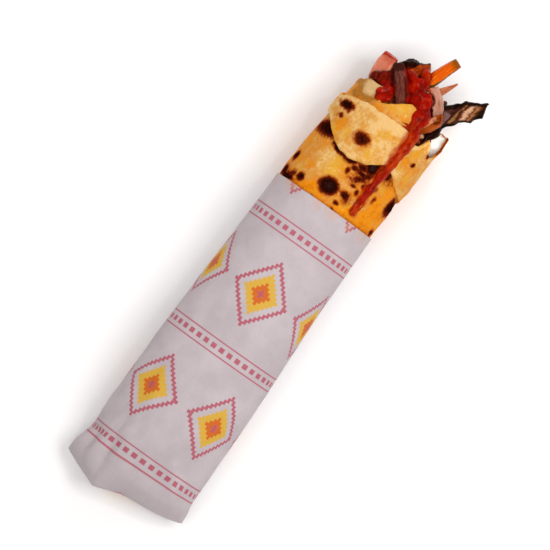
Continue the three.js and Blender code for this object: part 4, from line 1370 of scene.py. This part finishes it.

# A relief is a list of noise, size of its lumps, height and stretch along the grain. A rind faces one
# way, over a range of cosines, or lies beyond a line in plan: a place, a direction and a range. A streak is a
# painted highlight.
meatRelief = [(crags, 5.0, 0.55, 1.6), (clouds, 2.2, 0.4, 1.5), (crags, 1.3, 0.16, 2.5)]
softRelief = [(clouds, 4.0, 0.3, 3.0), (clouds, 1.2, 0.08, 4.0)]
fillings = [
    {"node": "meat_glazed", "name": "glazedMeat", "slot": "glazed", "finish": "glazed", "soften": 4,
     "relief": meatRelief, "rind": ((0.4, 1, -0.2), 0.5, 0.9)},
    {"node": "meat_crusted", "name": "crustedMeat", "slot": "crust", "finish": "crusted", "soften": 3,
     "relief": [(clouds, 6.0, 0.9, 1.3), (crags, 3.0, 0.5, 1.2), (clouds, 1.4, 0.3, 1.0)],
     "rind": ((1, 0.35, -0.35), 0.3, 0.7),
     "rindBeyond": [((253.1, 4.0), (0.51, 0.86), 0, 1.2), ((258.8, 0.0), (0.95, 0.3), 0, 1.2)],
     "glazed": 0.7, "shape": trimChunk, "streak": ((251.7, 4.0), (250.8, -0.6), 0.7)},
    {"node": "meat_slice", "name": "meatSlice", "slot": "meat", "finish": "sliced", "soften": 3,
     "relief": [(clouds, 5.0, 0.5, 2.5), (crags, 1.6, 0.22, 5.0)], "rind": ((0, 0, -1), 0.3, 0.6),
     "rindBeyond": [((242.5, 2.3), (0.58, -0.81), -1.4, 1.8), ((247, 8.4), (0.81, 0.58), -0.8, 2.6),
                    ((240.9, 6.0), (-0.58, 0.81), -1.0, 1.8)]},
    {"node": "meat_bit", "name": "burntBit", "slot": "crust", "finish": "crusted", "soften": 2,
     "relief": meatRelief, "rind": ((0, 0, 1), -0.6, -0.2)},
    {"node": "meat_cube", "name": "meatCube", "slot": "meat", "finish": "browned", "soften": 3,
     "relief": meatRelief, "rind": ((0, 0.6, -0.8), 0.3, 0.7)},
    {"node": "meat_corner", "name": "meatCorner", "slot": "crust", "finish": "browned", "soften": 3,
     "relief": meatRelief, "rind": ((0.5, -0.8, 0), 0.1, 0.5)},
    {"node": "meat_low", "name": "meatLow", "slot": "meat", "finish": "browned", "soften": 3,
     "relief": meatRelief, "rind": ((0, 0, 1), 0.4, 0.8)},
    {"node": "tomato_wedge", "name": "tomatoWedge", "slot": "tomato", "finish": "tomato", "soften": 5,
     "relief": softRelief, "rind": ((0.2, 0.7, -0.7), 0.35, 0.75),
     "rindBeyond": [((250.8, 15), (1, 0.1), -1.6, 2.0)], "shape": thinAside},
    {"node": "tomato_low", "name": "tomatoLow", "slot": "tomato", "finish": "tomato", "soften": 5,
     "relief": softRelief, "rind": ((-0.3, 0.5, -1), 0.1, 0.5), "shape": thinAside},
    {"node": "carrot_stick", "name": "carrotStick", "slot": "carrot", "finish": "carrot", "soften": 2,
     "relief": [(clouds, 3.0, 0.16, 4.0), (crags, 1.1, 0.08, 8.0)], "rind": ((0.9, -0.5, -0.1), 0.55, 0.8),
     "glazed": 1.6, "rindBeyond": [((262.6, -13.6), (-0.43, -0.9), -1.2, 0.2)]},
    {"node": "onion_petal", "name": "onionPetal", "slot": "onion", "finish": "onion", "soften": 3,
     "relief": [(clouds, 3.0, 0.4, 1.5), (crags, 1.4, 0.15, 3.0)], "rind": ((0, 0, -1), 0.5, 0.9),
     "glazed": 0.4, "shape": dipPetal, "rindBeyond": [((247.8, -10.6), (-0.58, 0.81), -0.4, 1.0)]},
    {"node": "onion_sliver", "name": "onionSliver", "slot": "onion", "finish": "shallot", "soften": 2,
     "relief": softRelief, "rind": ((0.7, -0.7, 0), 0.5, 0.9),
     "rindBeyond": [((255.5, -13.4), (0.34, 0.94), -0.2, 0.6)]},
    {"node": "onion_low", "name": "onionLow", "slot": "onion", "finish": "onion", "soften": 3,
     "relief": softRelief, "rind": ((0, 0, -1), 0.5, 0.9)},
    {"node": "pepper_piece", "name": "pepperPiece", "slot": "pepper", "finish": "pepper", "soften": 3,
     "relief": softRelief, "rind": ((0, 0, -1), 0.2, 0.5), "streak": ((233.3, -17), (239, -19.2), 0.8),
     "shape": trimPepper},
    {"node": "pepper_low", "name": "pepperLow", "slot": "pepper", "finish": "pepper", "soften": 3,
     "relief": softRelief, "rind": ((0, 0, -1), 0.2, 0.5), "shape": shortenPepper},
    {"node": "charred_strip", "name": "charredStrip", "slot": "charred", "finish": "charred", "soften": 2,
     "relief": [(clouds, 3.0, 0.35, 2.0), (crags, 1.4, 0.2, 4.0)], "rind": ((0, 0, 1), 2, 3),
     "shape": curlStrip, "stripe": stripeField, "voxel": 0.38},
]
for spec in fillings:
    makeFilling(spec)


print("chopped filling")

chopped = {
    "voxel": 1.1,
    "roughFrom": 205,  # x from which the core is uneven
    "bitsFrom": 222,  # x from which bits lie on it
    "perSquare": 0.3,  # bits for each square millimetre
    "size": [0.7, 1.5],
    "rough": 0.7,
}


def makeCore():
    piece = evenCopy("filling_core", "fillingCore", chopped["voxel"], 2)
    points, normals = toRoll(pointsOf(piece.data)), normalsOf(piece.data)
    nearMouth = ease(points[:, 0], chopped["roughFrom"], chopped["roughFrom"] + 10)
    points = points + normals * (chopped["rough"] * nearMouth * (crags(points, 5, 91) - 0.3))[:, None]
    placePoints(piece, points)
    setField(piece.data, "grain", points * mm)
    setField(piece.data, "rind", 0.5 * clouds(points, 5, 92))
    setField(piece.data, "glaze", 0.4 * ease(clouds(points, 7, 93), 0.2, 0.6))
    return dress(piece, finishes["chopped"], "mince", "filling_core")


def bitsTree():  # scatters small lumps over a surface
    tree, given, add = makeTree("scattered bits", {
        "Density": "Float", "Smallest": "Float", "Largest": "Float", "Seed": "Int", "Finish": "Material"})
    spots = add("GeometryNodeDistributePointsOnFaces", {
        "Mesh": given["Geometry"], "Density": given["Density"], "Seed": given["Seed"]})
    ball = add("GeometryNodeMeshUVSphere", {"Radius": 1.0, "Segments": 8, "Rings": 5})
    turned = add("FunctionNodeRandomValue", {0: (0, 0, 0), 1: (6.283, 6.283, 6.283), "Seed": given["Seed"]},
                 data_type="FLOAT_VECTOR")
    size = add("FunctionNodeRandomValue", {2: given["Smallest"], 3: given["Largest"]}, data_type="FLOAT")
    shape = add("FunctionNodeRandomValue", {0: (0.7, 0.5, 0.45), 1: (1.5, 1.0, 0.8), "Seed": 7},
                data_type="FLOAT_VECTOR")
    scale = add("ShaderNodeVectorMath", {0: shape.outputs[0], "Scale": size.outputs[1]}, operation="SCALE")
    placed = add("GeometryNodeInstanceOnPoints", {"Points": spots.outputs[0], "Instance": ball.outputs[0],
                                                  "Rotation": turned.outputs[0], "Scale": scale.outputs[0]})
    tint = add("FunctionNodeRandomValue", {2: 0.0, 3: 1.0, "Seed": 3}, data_type="FLOAT")
    tinted = add("GeometryNodeStoreNamedAttribute", {
        "Geometry": placed.outputs[0], "Name": "tint", "Value": tint.outputs[1],
    }, data_type="FLOAT", domain="INSTANCE")
    loose = add("GeometryNodeRealizeInstances", {"Geometry": tinted.outputs[0]})
    lumps = add("ShaderNodeTexNoise", {"Scale": 900.0, "Detail": 2.0})
    centred = add("ShaderNodeVectorMath", {0: lumps.outputs["Color"], 1: (0.5, 0.5, 0.5)},
                  operation="SUBTRACT")
    moved = add("ShaderNodeVectorMath", {0: centred.outputs[0], "Scale": 1.1 * mm}, operation="SCALE")
    uneven = add("GeometryNodeSetPosition", {"Geometry": loose.outputs[0], "Offset": moved.outputs[0]})
    done = add("GeometryNodeSetMaterial", {"Geometry": uneven.outputs[0], "Material": given["Finish"]})
    add("NodeGroupOutput", {"Geometry": done.outputs[0]})
    return tree


def bitsMaterial():
    recipe = Recipe("choppedBits")
    where = recipe.place()
    lumps, fine = recipe.noise(where, 1.6, 4, 0.6), recipe.noise(where, 0.4, 3, 0.6)
    tint = recipe.roughened(recipe.field("tint"), lumps, 0.2)
    shade = recipe.ramp(tint, [(0.05, "2a0d06"), (0.3, "5c2410"), (0.5, "84411f"), (0.66, "6a1206"),
                               (0.78, "b0521c"), (0.88, "d29a70"), (0.97, "8f9a4a")])
    shade = recipe.wash(shade, "3a130a", fine, 0.55, 0.7, 0.6)
    return recipe.finish(colour=shade, roughness=recipe.scaled(lumps, 0.3, 0.25),
                         normal=recipe.bump(fine, 0.15), specular=0.3, tint=colour("c07040"))


def makeBits(core):
    bm = bmesh.new()
    bm.from_mesh(core.data)
    hidden = [f for f in bm.faces if toRoll(f.calc_center_median())[0] < chopped["bitsFrom"]]
    bmesh.ops.delete(bm, geom=hidden, context="FACES")
    patch = bpy.data.meshes.new("choppedBits")
    bm.to_mesh(patch)
    bm.free()
    finish = bitsMaterial()
    piece = runTree("choppedBits", patch, bitsTree(), {
        "Density": chopped["perSquare"] / mm**2, "Smallest": chopped["size"][0] * mm,
        "Largest": chopped["size"][1] * mm, "Seed": 12, "Finish": finish})
    placePoints(piece, toRoll(pointsOf(piece.data)))
    return dress(piece, finish, "mince", "filling_core")


makeBits(makeCore())
